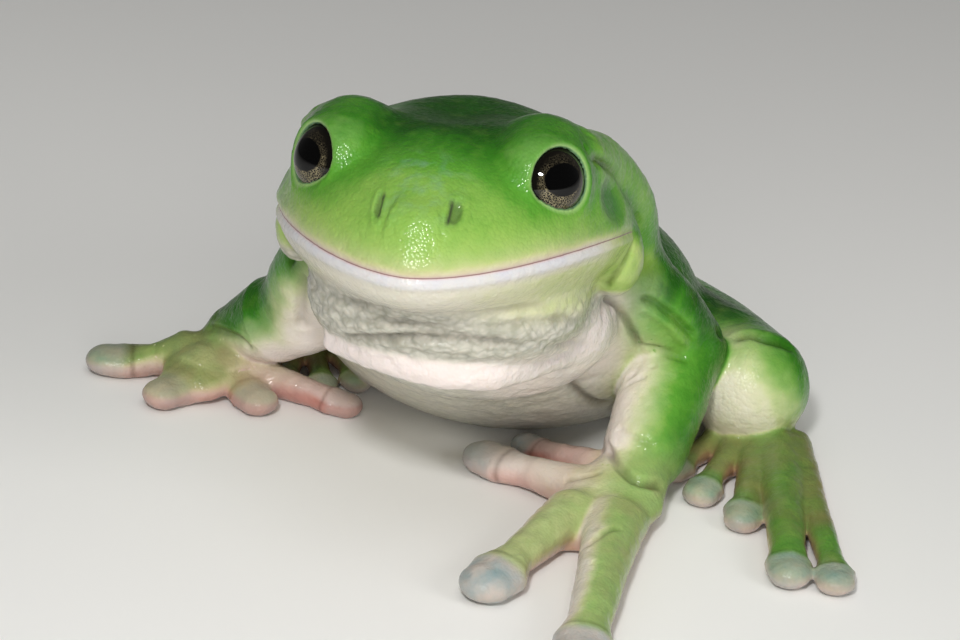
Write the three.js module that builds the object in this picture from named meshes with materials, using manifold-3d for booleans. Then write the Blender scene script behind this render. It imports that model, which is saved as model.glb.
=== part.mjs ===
// A large green tree frog at life size, resting on the ground with its head raised.
// Millimetres, +Z up. The frog faces -Y and its left side is +X; the ground is z = 0.
// Trunk and head are round forms joined softly; limbs and digits are swept along their bones.
// Each piece is trimmed by the pieces it touches, so that a thin gap parts them.

import * as THREE from 'three';
import { mergeVertices } from 'three/addons/utils/BufferGeometryUtils.js';
import Module from 'manifold-3d';

// ---------------------------------------------------------------- driving dimensions
const GAP = 0.3; // clearance between touching pieces
const WELD = 0.003; // corners closer than this are one corner
const HALF_MOUTH = 18.15; // half width of the head at the mouth corners
const HEAD_LENGTH = 27.7; // mouth corners to snout tip
const HEAD_TAIL = 24; // how far the head's form runs back into the neck
const HEAD_HEIGHT = 11.7; // mouth line to crown
const JAW_DEPTH = 9; // mouth line to underside of the lower jaw
const OUTLINE_SIDE = 1.73; // powers of the rounded-triangle outline of the mouth
const OUTLINE_FRONT = 1.85;
const MOUTH_ARCH = 4.12; // how the mouth line rises along the cheek
const MOUTH_DIP = 0.36; // and drops at the snout
const HEAD_SEAT = [0, 0, 31]; // middle of the mouth-corner line above the ground
const HEAD_TURN = { yaw: -0.7, pitch: 9.1, roll: 2.5 }; // degrees
const EYE_RADIUS = 4.6;
const EYE_SEAT = [12.15, -14.3, 7.45]; // centre of the eye opening, in the head's frame
const EYE_SINK = 3.05; // eyeball centre behind the opening
const EYE_SPLAY = 49; // degrees the eye looks outwards from straight ahead
const EYE_LIFT = 7; // degrees it looks up
const NECK_CUT = 10; // where the head ends, behind the mouth corners
const CHEST_CUT = 22; // where chest meets abdomen, along Y
const RUMP_CUT = 44; // where abdomen meets rump
const THROAT_CUT = 7; // where throat meets chest
const PAD_FLATNESS = 0.64; // half height of a digit's pad, as a share of its half width
const PAD_PRESS = 0.3; // how far a pad is pressed flat by the ground

// How finely each kind of piece is faceted.
const HEAD_COLUMNS = 26;
const HEAD_ROWS = 18;
const TRUNK_COLUMNS = 20;
const TRUNK_ROWS = 16;
const EYE_COLUMNS = 10;
const EYE_ROWS = 8;
const LIMB_SIDES = 8;
const LIMB_STEPS = 2; // rings between one station of a limb and the next
const DIGIT_SIDES = 6;
const DIGIT_STEPS = 1;
const END_STEPS = 2; // rings in the rounded end of a limb or digit

// Colours of living skin, for the plain solids.
const SKIN = {
  back: 0x4f8a22,
  head: 0x7db848,
  belly: 0xcfc9b4,
  limb: 0x6a9c3c,
  digit: 0x9fb48c,
  eye: 0x14110d,
};

// Round forms of the trunk: centre and half axes.
const TRUNK_FORMS = [
  { at: [1, 15, 20.2], half: [18, 17.5, 14.6] }, // shoulders and rib cage
  { at: [3, 20, 11], half: [18, 13.5, 9] }, // flat underside of the chest
  { at: [2, 27, 11], half: [22.3, 17.5, 13.8] }, // belly
  { at: [1, 46.5, 8.5], half: [12.5, 16.5, 9.6] }, // rump
];
const TRUNK_BLEND = 8;
// Round forms of the throat, in the head's frame.
const THROAT_FORMS = [
  { at: [0.6, -6, -7.2], half: [14.2, 14, 7.6] },
  { at: [2, 4, -11.5], half: [14.6, 12.5, 8.5] },
];
const BROW = { at: [9.6, -9, 7.1], half: [5.5, 6.8, 5.9] };
const JAW_LOBE = { at: [16.8, 2.2, -3.2], half: [2.6, 3.4, 4] };
const CROWN_HOLLOW = { at: [0, -1.5, 17.1], half: [6.5, 12, 6.3] };
// Fold that runs from behind the eye, over the ear, to the shoulder: place and radius.
const EAR_FOLD = [
  [12.4, -6, 8.1, 3.3],
  [13.8, 2.4, 5.9, 3.2],
  [16, 9.8, 0.4, 3.4],
  [16.2, 15.5, -6.8, 3.5],
];

// Limb stations: x, y, z, half width, half height.
const ARMS = {
  left: {
    upper_arm: [[12, 9, 23, 5.5, 5.5], [19.5, 13.5, 18, 4.9, 4.9], [23.6, 16.8, 12.3, 4.5, 4.5]],
    forearm: [[23.4, 16.2, 11.8, 4.5, 4.5], [22.4, 11, 8.8, 4.9, 4.9], [21.6, 5.2, 5.2, 4.5, 4.5]],
    hand: [[21.4, 3.2, 3.9, 3.6, 3.2], [19.6, -2.4, 2.7, 5.4, 2.7], [18.6, -7.4, 2.1, 4.9, 2.2]],
    fingers: [
      { root: [16.2, 4.6, 2.2], tip: [8.8, 9.6], girth: 1.8, pad: 2.1 },
      { root: [15, -0.6, 2.3], tip: [5.4, 4], girth: 2.1, pad: 2.9 },
      { root: [15.6, -7.4, 2.4], tip: [10, -22.6], girth: 2.3, pad: 3.2 },
      { root: [20.4, -8.2, 2.5], tip: [20.8, -34], girth: 2.6, pad: 3.2 },
    ],
  },
  right: {
    upper_arm: [[-12, 9, 22, 5.5, 5.5], [-16.5, 11.5, 17, 4.9, 4.9], [-18.6, 15, 11.2, 4.7, 4.7]],
    forearm: [[-18.8, 15.2, 10.6, 4.8, 4.8], [-22, 16.4, 8.6, 4.9, 4.9], [-26.6, 18.4, 5.4, 3.3, 3.3]],
    hand: [[-26.8, 18.8, 4.5, 3.1, 2.8], [-28.2, 16.2, 3.2, 4.1, 2.6], [-29.2, 13, 2.3, 4.3, 2.2]],
    fingers: [
      { root: [-24.4, 15.8, 2.2], tip: [-13.2, 13.2], girth: 1.8, pad: 2.2 },
      { root: [-25.8, 14.2, 2.4], tip: [-22.4, 10.8], girth: 1.9, pad: 2.5 },
      { root: [-29.6, 13.4, 2.6], tip: [-31.8, 9], girth: 2.2, pad: 2.7 },
      { root: [-32, 16.6, 2.8], tip: [-39.6, 14.8], girth: 2.2, pad: 2.8 },
    ],
  },
};
const LEGS = {
  left: {
    thigh: [[6, 50, 7.2, 6.4, 6.2], [14.5, 39, 7, 6.6, 6.2], [26, 26, 7.7, 6.2, 5.8]],
    shank: [[31, 20.6, 7.1, 6.6, 6.6], [25, 35, 5.8, 5.5, 5.2], [14.5, 54, 4, 3.4, 3.4]],
    tarsus: [[16.5, 56, 3.2, 2.8, 2.8], [24.5, 46, 2.4, 2.7, 2.4], [29.8, 33, 2.4, 2.9, 2.3]],
    foot: [[30, 32, 2.2, 3, 2.3], [31.6, 24.5, 1.8, 3.9, 1.9], [33, 18.6, 1.5, 4.6, 1.7]],
    toes: [
      { root: [29.2, 19.4, 1.8], tip: [24.8, 9.6], girth: 1.4, pad: 1.9 },
      { root: [30.8, 17, 1.9], tip: [28.2, 5], girth: 1.5, pad: 2.2 },
      { root: [33, 15.4, 2], tip: [33, 0.6], girth: 1.7, pad: 2.3 },
      { root: [35.2, 15.4, 2], tip: [38.8, -10.2], girth: 2.2, pad: 2.5 },
      { root: [36.8, 17.8, 1.9], tip: [43.6, -10.2], girth: 1.6, pad: 2.3 },
    ],
  },
  right: {
    thigh: [[-5, 50, 7.6, 6.4, 6.4], [-11, 40, 8.2, 6.2, 6.2], [-17, 31, 9.2, 5.6, 5.6]],
    shank: [[-18.4, 28.6, 8.8, 5.6, 5.6], [-17.8, 38.5, 7.8, 5.4, 5.2], [-12.5, 56, 4.4, 3.3, 3.3]],
    tarsus: [[-14, 57.5, 3.2, 2.8, 2.8], [-21, 50, 2.4, 2.7, 2.4], [-24.2, 41, 2.4, 2.9, 2.3]],
    foot: [[-24.4, 40, 2.2, 3.2, 2.3], [-22.6, 34.5, 1.5, 3.7, 1.7], [-20.6, 30.5, 1.3, 4, 1.5]],
    toes: [
      { root: [-17.6, 31.4, 1.6], tip: [-10.6, 23.6], girth: 1.2, pad: 1.6 },
      { root: [-18.4, 29.2, 1.6], tip: [-13, 20], girth: 1.2, pad: 1.8 },
      { root: [-19.8, 27.8, 1.6], tip: [-16.2, 17.4], girth: 1.3, pad: 1.9 },
      { root: [-21.2, 27.2, 1.6], tip: [-20.2, 16.4], girth: 1.3, pad: 1.9 },
      { root: [-22.8, 28.8, 1.6], tip: [-24, 21.6], girth: 1.2, pad: 1.6 },
    ],
  },
};

// ---------------------------------------------------------------- soft forms
const wasm = await Module();
wasm.setup();

const radians = THREE.MathUtils.degToRad;
const vector = ([x, y, z]) => new THREE.Vector3(x, y, z);

/** The head's own frame (left, back, up) set in the frog's frame, which has the same axes. */
function headFrame() {
  const turn = new THREE.Euler(
    radians(-HEAD_TURN.pitch),
    radians(-HEAD_TURN.roll),
    radians(HEAD_TURN.yaw),
    'ZXY',
  );
  return new THREE.Matrix4().makeRotationFromEuler(turn).setPosition(...HEAD_SEAT);
}
const HEAD_TO_FROG = headFrame();
const FROG_TO_HEAD = HEAD_TO_FROG.clone().invert();

/** Smallest of two distances, rounded where they meet over a width k. */
function blend(a, b, k) {
  const h = Math.max(k - Math.abs(a - b), 0) / k;
  return Math.min(a, b) - (h * h * h * k) / 6;
}

/** Distance to a round form given by its centre and half axes. */
function roundForm(p, { at, half }) {
  const x = (p.x - at[0]) / half[0];
  const y = (p.y - at[1]) / half[1];
  const z = (p.z - at[2]) / half[2];
  const reach = Math.hypot(x, y, z);
  const slope = Math.hypot(x / half[0], y / half[1], z / half[2]);
  return (reach * (reach - 1)) / Math.max(slope, 1e-9);
}

/** Distance to a rounded bar between two stations whose fourth number is the radius. */
function bar(p, a, b) {
  const start = vector(a);
  const along = vector(b).sub(start);
  const offset = p.clone().sub(start);
  const t = THREE.MathUtils.clamp(offset.dot(along) / along.lengthSq(), 0, 1);
  return offset.addScaledVector(along, -t).length() - THREE.MathUtils.lerp(a[3], b[3], t);
}

/** Height of the mouth line above the corner level, at a distance in front of the corners. */
function mouthLine(forward) {
  const u = THREE.MathUtils.clamp(forward / HEAD_LENGTH, 0, 1.05);
  return MOUTH_ARCH * u * (1 - u) - MOUTH_DIP * u * u;
}

/** Head without folds: rounded-triangle outline, crown above the mouth line, jaw below. */
function skullForm(p) {
  const rise = p.z - mouthLine(-p.y);
  const front = (Math.max(-p.y, 0) / HEAD_LENGTH) ** OUTLINE_FRONT;
  const back = (Math.max(p.y, 0) / HEAD_TAIL) ** 2;
  const side = (Math.abs(p.x) / HALF_MOUTH) ** OUTLINE_SIDE;
  const height = rise > 0 ? (rise / HEAD_HEIGHT) ** 2 : (-rise / JAW_DEPTH) ** 2.2;
  const fill = Math.max(side + front + back + height, 1e-6);
  return 0.8 * p.length() * (1 - fill ** (-1 / 1.9));
}

/** The whole head in its own frame. */
function headForm(p) {
  const m = new THREE.Vector3(Math.abs(p.x), p.y, p.z);
  let d = blend(skullForm(p), roundForm(m, BROW), 3);
  let fold = bar(m, EAR_FOLD[0], EAR_FOLD[1]);
  fold = blend(fold, bar(m, EAR_FOLD[1], EAR_FOLD[2]), 2);
  fold = blend(fold, bar(m, EAR_FOLD[2], EAR_FOLD[3]), 2);
  d = blend(d, fold, 2);
  d = blend(d, roundForm(m, JAW_LOBE), 1.5);
  return -blend(-d, roundForm(m, CROWN_HOLLOW), 4);
}

/** Trunk with the throat, in the frog's frame. */
function trunkForm(p) {
  let d = roundForm(p, TRUNK_FORMS[0]);
  for (const form of TRUNK_FORMS.slice(1)) {
    d = blend(d, roundForm(p, form), TRUNK_BLEND);
  }
  const h = p.clone().applyMatrix4(FROG_TO_HEAD);
  const throat = blend(roundForm(h, THROAT_FORMS[0]), roundForm(h, THROAT_FORMS[1]), 5);
  return blend(d, throat, 4);
}

// ---------------------------------------------------------------- solids
/** A closed geometry as a solid that can be joined and cut. */
function solidOf(geometry) {
  const bare = geometry.clone();
  bare.deleteAttribute('normal');
  bare.deleteAttribute('uv');
  const merged = mergeVertices(bare, 1e-4);
  return new wasm.Manifold(new wasm.Mesh({
    numProp: 3,
    vertProperties: new Float32Array(merged.attributes.position.array),
    triVerts: new Uint32Array(merged.index.array),
  }));
}

/** Faces of the largest connected body of a mesh, without slivers shaved off at a joint. */
function mainBody(vertexCount, faces) {
  const parent = Array.from({ length: vertexCount }, (_, i) => i);
  const find = (i) => {
    let node = i;
    while (parent[node] !== node) {
      parent[node] = parent[parent[node]];
      node = parent[node];
    }
    return node;
  };
  for (const [a, b, c] of faces) {
    parent[find(a)] = find(b);
    parent[find(b)] = find(c);
  }
  const bodies = new Map();
  for (const face of faces) {
    const body = find(face[0]);
    bodies.set(body, [...(bodies.get(body) ?? []), face]);
  }
  return [...bodies.values()].sort((a, b) => b.length - a.length)[0];
}

/** Faces left once corners closer than the weld are one corner and folded faces are gone. */
function weldedFaces(index) {
  const open = new Map();
  for (let i = 0; i < index.length; i += 3) {
    const face = [index[i], index[i + 1], index[i + 2]];
    if (new Set(face).size === 3) {
      const key = [...face].sort((a, b) => a - b).join();
      if (open.has(key)) {
        open.delete(key);
      } else {
        open.set(key, face);
      }
    }
  }
  return [...open.values()];
}

/** Back from a solid to a geometry. */
function geometryOf(solid) {
  const { vertProperties, triVerts } = solid.getMesh();
  const cut = new THREE.BufferGeometry();
  cut.setAttribute('position', new THREE.BufferAttribute(new Float32Array(vertProperties), 3));
  cut.setIndex(new THREE.BufferAttribute(new Uint32Array(triVerts), 1));
  const geometry = mergeVertices(cut, WELD);
  const faces = weldedFaces(geometry.index.array);
  const kept = mainBody(geometry.attributes.position.count, faces);
  geometry.setIndex(kept.flat());
  geometry.computeVertexNormals();
  return geometry;
}

/** A sphere's grid pushed out along its rays to where a form, grown by a margin, ends. */
function wrapped(form, centre, reach, columns, rows, grow) {
  const geometry = new THREE.SphereGeometry(1, columns, rows);
  const position = geometry.attributes.position;
  const ray = new THREE.Vector3();
  const probe = new THREE.Vector3();
  for (let i = 0; i < position.count; i += 1) {
    ray.fromBufferAttribute(position, i).normalize();
    let inside = 0;
    let outside = reach;
    for (let step = 0; step < 24; step += 1) {
      const middle = (inside + outside) / 2;
      probe.copy(centre).addScaledVector(ray, middle);
      if (form(probe) < grow) {
        inside = middle;
      } else {
        outside = middle;
      }
    }
    probe.copy(centre).addScaledVector(ray, inside);
    position.setXYZ(i, probe.x, probe.y, probe.z);
  }
  return geometry;
}

/** A sphere's grid laid along a bone: stations give the path, half width and half height. */
function swept(stations, sides, steps, grow) {
  const first = stations[0];
  const last = stations[stations.length - 1];
  const path = stations.map(vector);
  const before = path[0].clone().sub(path[1]).setLength(first[3]).add(path[0]);
  const tail = path[path.length - 1];
  const after = tail.clone().sub(path[path.length - 2]).setLength(last[3]).add(tail);
  const curve = new THREE.CatmullRomCurve3([before, ...path, after], false, 'centripetal');
  const girths = [[0, 0], ...stations.map((s) => [s[3] + grow, s[4] + grow]), [0, 0]];
  const marks = girths.length - 1;
  const rings = 2 * END_STEPS + (marks - 2) * steps;
  const geometry = new THREE.SphereGeometry(1, sides, rings);
  const position = geometry.attributes.position;
  const up = new THREE.Vector3(0, 0, 1);
  for (let i = 0; i < position.count; i += 1) {
    const polar = Math.acos(THREE.MathUtils.clamp(-position.getY(i), -1, 1)) / Math.PI;
    const turn = Math.atan2(position.getZ(i), position.getX(i));
    const ring = Math.round(polar * rings);
    let u = 1 + (ring - END_STEPS) / steps;
    if (ring < END_STEPS) {
      u = ring / END_STEPS;
    } else if (ring > rings - END_STEPS) {
      u = marks - (rings - ring) / END_STEPS;
    }
    const k = Math.min(Math.floor(u), marks - 1);
    const t = u - k;
    const [w0, h0] = girths[k];
    const [w1, h1] = girths[k + 1];
    const arc = Math.PI / 2;
    const atStart = k === 0;
    const atEnd = k === marks - 1;
    const along = atStart ? 1 - Math.cos(t * arc) : (atEnd ? Math.sin(t * arc) : t);
    const share = atStart ? Math.sin(t * arc) : (atEnd ? 1 - Math.cos(t * arc) : t);
    const width = THREE.MathUtils.lerp(w0, w1, share);
    const height = THREE.MathUtils.lerp(h0, h1, share);
    const s = (k + along) / marks;
    const at = curve.getPoint(s);
    const way = curve.getTangent(s);
    const reach = atStart ? along - 1 : (atEnd ? along : 0);
    at.addScaledVector(way, reach * grow);
    const aside = way.clone().cross(up).normalize();
    const above = aside.clone().cross(way);
    at.addScaledVector(aside, Math.cos(turn) * width);
    at.addScaledVector(above, Math.sin(turn) * height);
    position.setXYZ(i, at.x, at.y, at.z);
  }
  return geometry;
}

/** Stations of a finger or toe: knuckle, shaft, neck and the round pad at its end. */
function digitStations({ root, tip, girth, pad }) {
  const rootAt = vector(root);
  const tipAt = new THREE.Vector3(tip[0], tip[1], root[2]);
  const length = rootAt.distanceTo(tipAt);
  const at = (share, height) => {
    const point = rootAt.clone().lerp(tipAt, share);
    return [point.x, point.y, height];
  };
  const neck = 1 - (pad * 1.5) / length;
  const flat = pad * PAD_FLATNESS;
  const rest = flat - PAD_PRESS;
  return [
    [...root, girth * 1.25, girth * 1.1],
    [...at(0.5 * neck, girth), girth, girth * 0.95],
    [...at(neck, rest + 0.3), girth * 0.85, girth * 0.8],
    [...at(1 - (pad * 0.45) / length, rest), pad * 0.97, flat],
    [...at(1 + (pad * 0.25) / length, rest), pad * 0.9, flat * 0.9],
  ];
}

const BIG = 400;
/** A half space on the side a normal points to, from a point: a large box turned to face it. */
function halfSpace(point, normal) {
  const box = new THREE.BoxGeometry(BIG, BIG, BIG);
  box.translate(0, 0, BIG / 2);
  const turn = new THREE.Quaternion().setFromUnitVectors(new THREE.Vector3(0, 0, 1), normal);
  box.applyQuaternion(turn);
  box.translate(point.x, point.y, point.z);
  return solidOf(box);
}

// ---------------------------------------------------------------- the frog
const frog = new THREE.Group();
const placed = []; // every solid so far, grown by the gap, with its box

/** Adds a piece: trimmed by the ground and by all it touches, then named and coloured. */
function addPiece(name, colour, roughness, solid, grown) {
  let piece = solid.subtract(ground);
  const box = piece.boundingBox();
  for (const other of placed) {
    const near = [0, 1, 2].every((i) => box.min[i] < other.box.max[i] && box.max[i] > other.box.min[i]);
    if (near) {
      piece = piece.subtract(other.grown);
    }
  }
  placed.push({ grown, box: grown.boundingBox() });
  const material = new THREE.MeshStandardMaterial({ color: colour, roughness, metalness: 0 });
  const mesh = new THREE.Mesh(geometryOf(piece), material);
  mesh.name = name;
  frog.add(mesh);
}

const headPoint = (x, y, z) => new THREE.Vector3(x, y, z).applyMatrix4(HEAD_TO_FROG);
const headDirection = (x, y, z) => new THREE.Vector3(x, y, z).transformDirection(HEAD_TO_FROG);
const ground = halfSpace(new THREE.Vector3(0, 0, 0), new THREE.Vector3(0, 0, -1));

/** Both halves of a solid parted by a plane, with the gap between them. */
function parted(solid, point, normal) {
  const ahead = halfSpace(point.clone().addScaledVector(normal, GAP / 2), normal);
  const behind = halfSpace(
    point.clone().addScaledVector(normal, -GAP / 2),
    normal.clone().negate(),
  );
  return [solid.intersect(ahead), solid.intersect(behind)];
}

for (const [side, sign] of [['left', 1], ['right', -1]]) {
  const splay = radians(EYE_SPLAY);
  const lift = radians(EYE_LIFT);
  const gaze = new THREE.Vector3(
    sign * Math.sin(splay) * Math.cos(lift),
    -Math.cos(splay) * Math.cos(lift),
    Math.sin(lift),
  );
  const seat = new THREE.Vector3(sign * EYE_SEAT[0], EYE_SEAT[1], EYE_SEAT[2]);
  const centre = seat.addScaledVector(gaze, -EYE_SINK).applyMatrix4(HEAD_TO_FROG);
  const ball = (radius) => {
    const geometry = new THREE.SphereGeometry(radius, EYE_COLUMNS, EYE_ROWS);
    return solidOf(geometry.translate(centre.x, centre.y, centre.z));
  };
  addPiece(`${side}_eye`, SKIN.eye, 0.05, ball(EYE_RADIUS), ball(EYE_RADIUS + GAP));
}

const headCentre = new THREE.Vector3(0, -3, 2);
const headSolid = (grow) => {
  const geometry = wrapped(headForm, headCentre, 60, HEAD_COLUMNS, HEAD_ROWS, grow);
  return solidOf(geometry.applyMatrix4(HEAD_TO_FROG));
};
const neckPoint = headPoint(0, NECK_CUT, 0);
const neckNormal = headDirection(0, -1, 0);
const mouthPoint = headPoint(0, 0, 0);
const mouthNormal = headDirection(0, 0, 1);
const wholeHead = headSolid(0).intersect(halfSpace(neckPoint, neckNormal));
const headClearance = headSolid(GAP).intersect(
  halfSpace(neckPoint.clone().addScaledVector(neckNormal, -GAP), neckNormal),
);
const [cranium, lowerJaw] = parted(wholeHead, mouthPoint, mouthNormal);
const none = solidOf(new THREE.BoxGeometry(0.1, 0.1, 0.1).translate(0, 0, -BIG));
addPiece('head', SKIN.head, 0.35, cranium, none);
addPiece('lower_jaw', SKIN.belly, 0.35, lowerJaw, headClearance);

const trunkCentre = new THREE.Vector3(1.5, 24, 14);
/** The trunk, joined to the part of the head's form that lies behind the neck. */
function trunkSolid(grow) {
  const trunk = solidOf(wrapped(trunkForm, trunkCentre, 80, TRUNK_COLUMNS, TRUNK_ROWS, grow));
  const nape = headSolid(grow).intersect(halfSpace(neckPoint, neckNormal.clone().negate()));
  return trunk.add(nape);
}
const backward = new THREE.Vector3(0, 1, 0);
const trunkClearance = trunkSolid(GAP);
const [afterThroat, throat] = parted(trunkSolid(0), new THREE.Vector3(0, THROAT_CUT, 0), backward);
const [afterChest, chest] = parted(afterThroat, new THREE.Vector3(0, CHEST_CUT, 0), backward);
const [rump, abdomen] = parted(afterChest, new THREE.Vector3(0, RUMP_CUT, 0), backward);
addPiece('throat', SKIN.belly, 0.45, throat, none);
addPiece('chest', SKIN.back, 0.4, chest, none);
addPiece('abdomen', SKIN.back, 0.4, abdomen, none);
addPiece('rump', SKIN.back, 0.4, rump, trunkClearance);

/** Adds a piece of a limb swept along its stations. */
function addSwept(name, colour, stations, sides, steps) {
  const solid = solidOf(swept(stations, sides, steps, 0));
  addPiece(name, colour, 0.4, solid, solidOf(swept(stations, sides, steps, GAP)));
}

for (const side of ['left', 'right']) {
  for (const name of ['upper_arm', 'forearm', 'hand']) {
    addSwept(`${side}_${name}`, SKIN.limb, ARMS[side][name], LIMB_SIDES, LIMB_STEPS);
  }
  ARMS[side].fingers.forEach((finger, i) => {
    addSwept(`${side}_finger_${i + 1}`, SKIN.digit, digitStations(finger), DIGIT_SIDES, DIGIT_STEPS);
  });
  for (const name of ['thigh', 'shank', 'tarsus', 'foot']) {
    addSwept(`${side}_${name}`, SKIN.limb, LEGS[side][name], LIMB_SIDES, LIMB_STEPS);
  }
  LEGS[side].toes.forEach((toe, i) => {
    addSwept(`${side}_toe_${i + 1}`, SKIN.digit, digitStations(toe), DIGIT_SIDES, DIGIT_STEPS);
  });
}

// The origin goes to the middle of the footprint, on the ground.
const extent = new THREE.Box3().setFromObject(frog);
const middle = extent.getCenter(new THREE.Vector3());
frog.position.set(-middle.x, -middle.y, 0);

export default frog;
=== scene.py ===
import logging
import math
from dataclasses import dataclass
from enum import Enum
from typing import Callable, Sequence

import bpy
import numpy as np
from mathutils import Matrix, Vector


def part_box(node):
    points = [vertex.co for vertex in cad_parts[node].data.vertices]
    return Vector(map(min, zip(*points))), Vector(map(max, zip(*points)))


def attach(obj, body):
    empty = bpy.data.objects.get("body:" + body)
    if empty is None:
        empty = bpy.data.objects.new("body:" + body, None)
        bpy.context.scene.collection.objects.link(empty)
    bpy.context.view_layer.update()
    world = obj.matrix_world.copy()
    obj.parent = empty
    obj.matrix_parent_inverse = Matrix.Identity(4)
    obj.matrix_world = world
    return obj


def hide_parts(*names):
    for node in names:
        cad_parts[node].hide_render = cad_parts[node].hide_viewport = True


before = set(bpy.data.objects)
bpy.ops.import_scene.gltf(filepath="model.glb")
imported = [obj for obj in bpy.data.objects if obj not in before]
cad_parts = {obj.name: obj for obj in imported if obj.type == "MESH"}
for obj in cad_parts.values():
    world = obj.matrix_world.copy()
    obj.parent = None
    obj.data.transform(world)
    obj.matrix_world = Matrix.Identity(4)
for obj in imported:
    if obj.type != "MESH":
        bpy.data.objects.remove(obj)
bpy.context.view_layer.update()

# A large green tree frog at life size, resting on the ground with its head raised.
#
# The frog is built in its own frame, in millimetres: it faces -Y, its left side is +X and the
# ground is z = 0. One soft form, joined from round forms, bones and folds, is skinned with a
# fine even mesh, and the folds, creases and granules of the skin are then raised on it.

log = logging.getLogger("tree_frog")

MM = 0.001
Numbers = tuple[float, ...]
Array = np.ndarray
FAR = 8.0  # distances beyond this many millimetres are all alike
# large primes that scramble a place and a seed into a random value
HASH_X, HASH_Y, HASH_Z = 73856093, 19349663, 83492791
HASH_SEED, HASH_MIX = 2654435761, 1274126177
HALF_RANGE = 32767.5  # half of the range of the scrambled values


# ---------------------------------------------------------------- soft maths
def blend(a: Array, b: Array, width: float) -> Array:
    """The smaller of two distances, rounded where they meet over a width."""
    h = np.maximum(width - np.abs(a - b), 0) / width
    return np.minimum(a, b) - h * h * h * width / 6


def carve(a: Array, b: Array, width: float) -> Array:
    """A distance with another one's inside taken away, rounded over a width."""
    return -blend(-a, b, width)


def ramp(x: Array, start: float, end: float) -> Array:
    """A smooth step from 0 at start to 1 at end."""
    t = np.clip((x - start) / (end - start), 0, 1)
    return t * t * (3 - 2 * t)


def hump(x: Array, width: float) -> Array:
    """A round hump of height 1 at 0, gone by twice its width."""
    return np.exp(-((x / width) ** 2))


def grain(points: Array, size: float, seed: int) -> Array:
    """Smooth random values from -1 to 1.

    Args:
        points: places, in millimetres.
        size: spacing of the random values, in millimetres.
        seed: which random values.

    Returns:
        One value for each place.
    """
    place = points / size
    cell = np.floor(place).astype(np.int64)
    t = place - cell
    t = t * t * t * (t * (6 * t - 15) + 10)
    total = np.zeros(len(points))
    for corner in np.ndindex(2, 2, 2):
        at = (cell + corner).astype(np.uint64)
        code = at[:, 0] * HASH_X ^ at[:, 1] * HASH_Y ^ at[:, 2] * HASH_Z ^ (seed * HASH_SEED)
        code = (code ^ (code >> np.uint64(13))) * HASH_MIX & 0xFFFFFFFF
        code = (code ^ (code >> np.uint64(16))) & 0xFFFF
        share = np.prod(np.where(corner, t, 1 - t), axis=1)
        total += share * (code / HALF_RANGE - 1)
    return total


def within(p: Array, low: Array, high: Array, reach: float) -> Array:
    """Numbers of the places that lie in a box grown by a reach."""
    return np.flatnonzero(np.all((p > low - reach) & (p < high + reach), axis=1))


def one_sided(h: Array) -> Array:
    """Places of the head's frame with the right side laid over the left."""
    return np.stack([np.abs(h[:, 0]), h[:, 1], h[:, 2]], axis=1)


# ---------------------------------------------------------------- soft forms
@dataclass(frozen=True)
class Blob:
    """A round form: a centre and three half axes."""

    at: Numbers
    half: Numbers

    def box(self) -> tuple[Array, Array]:
        """Lowest and highest corner."""
        return np.subtract(self.at, self.half), np.add(self.at, self.half)

    def distance(self, p: Array) -> Array:
        """Signed distance of each place, close to exact near the surface."""
        q = (p - self.at) / self.half
        reach = np.linalg.norm(q, axis=1)
        slope = np.linalg.norm(q / self.half, axis=1)
        return reach * (reach - 1) / np.maximum(slope, 1e-9)


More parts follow.
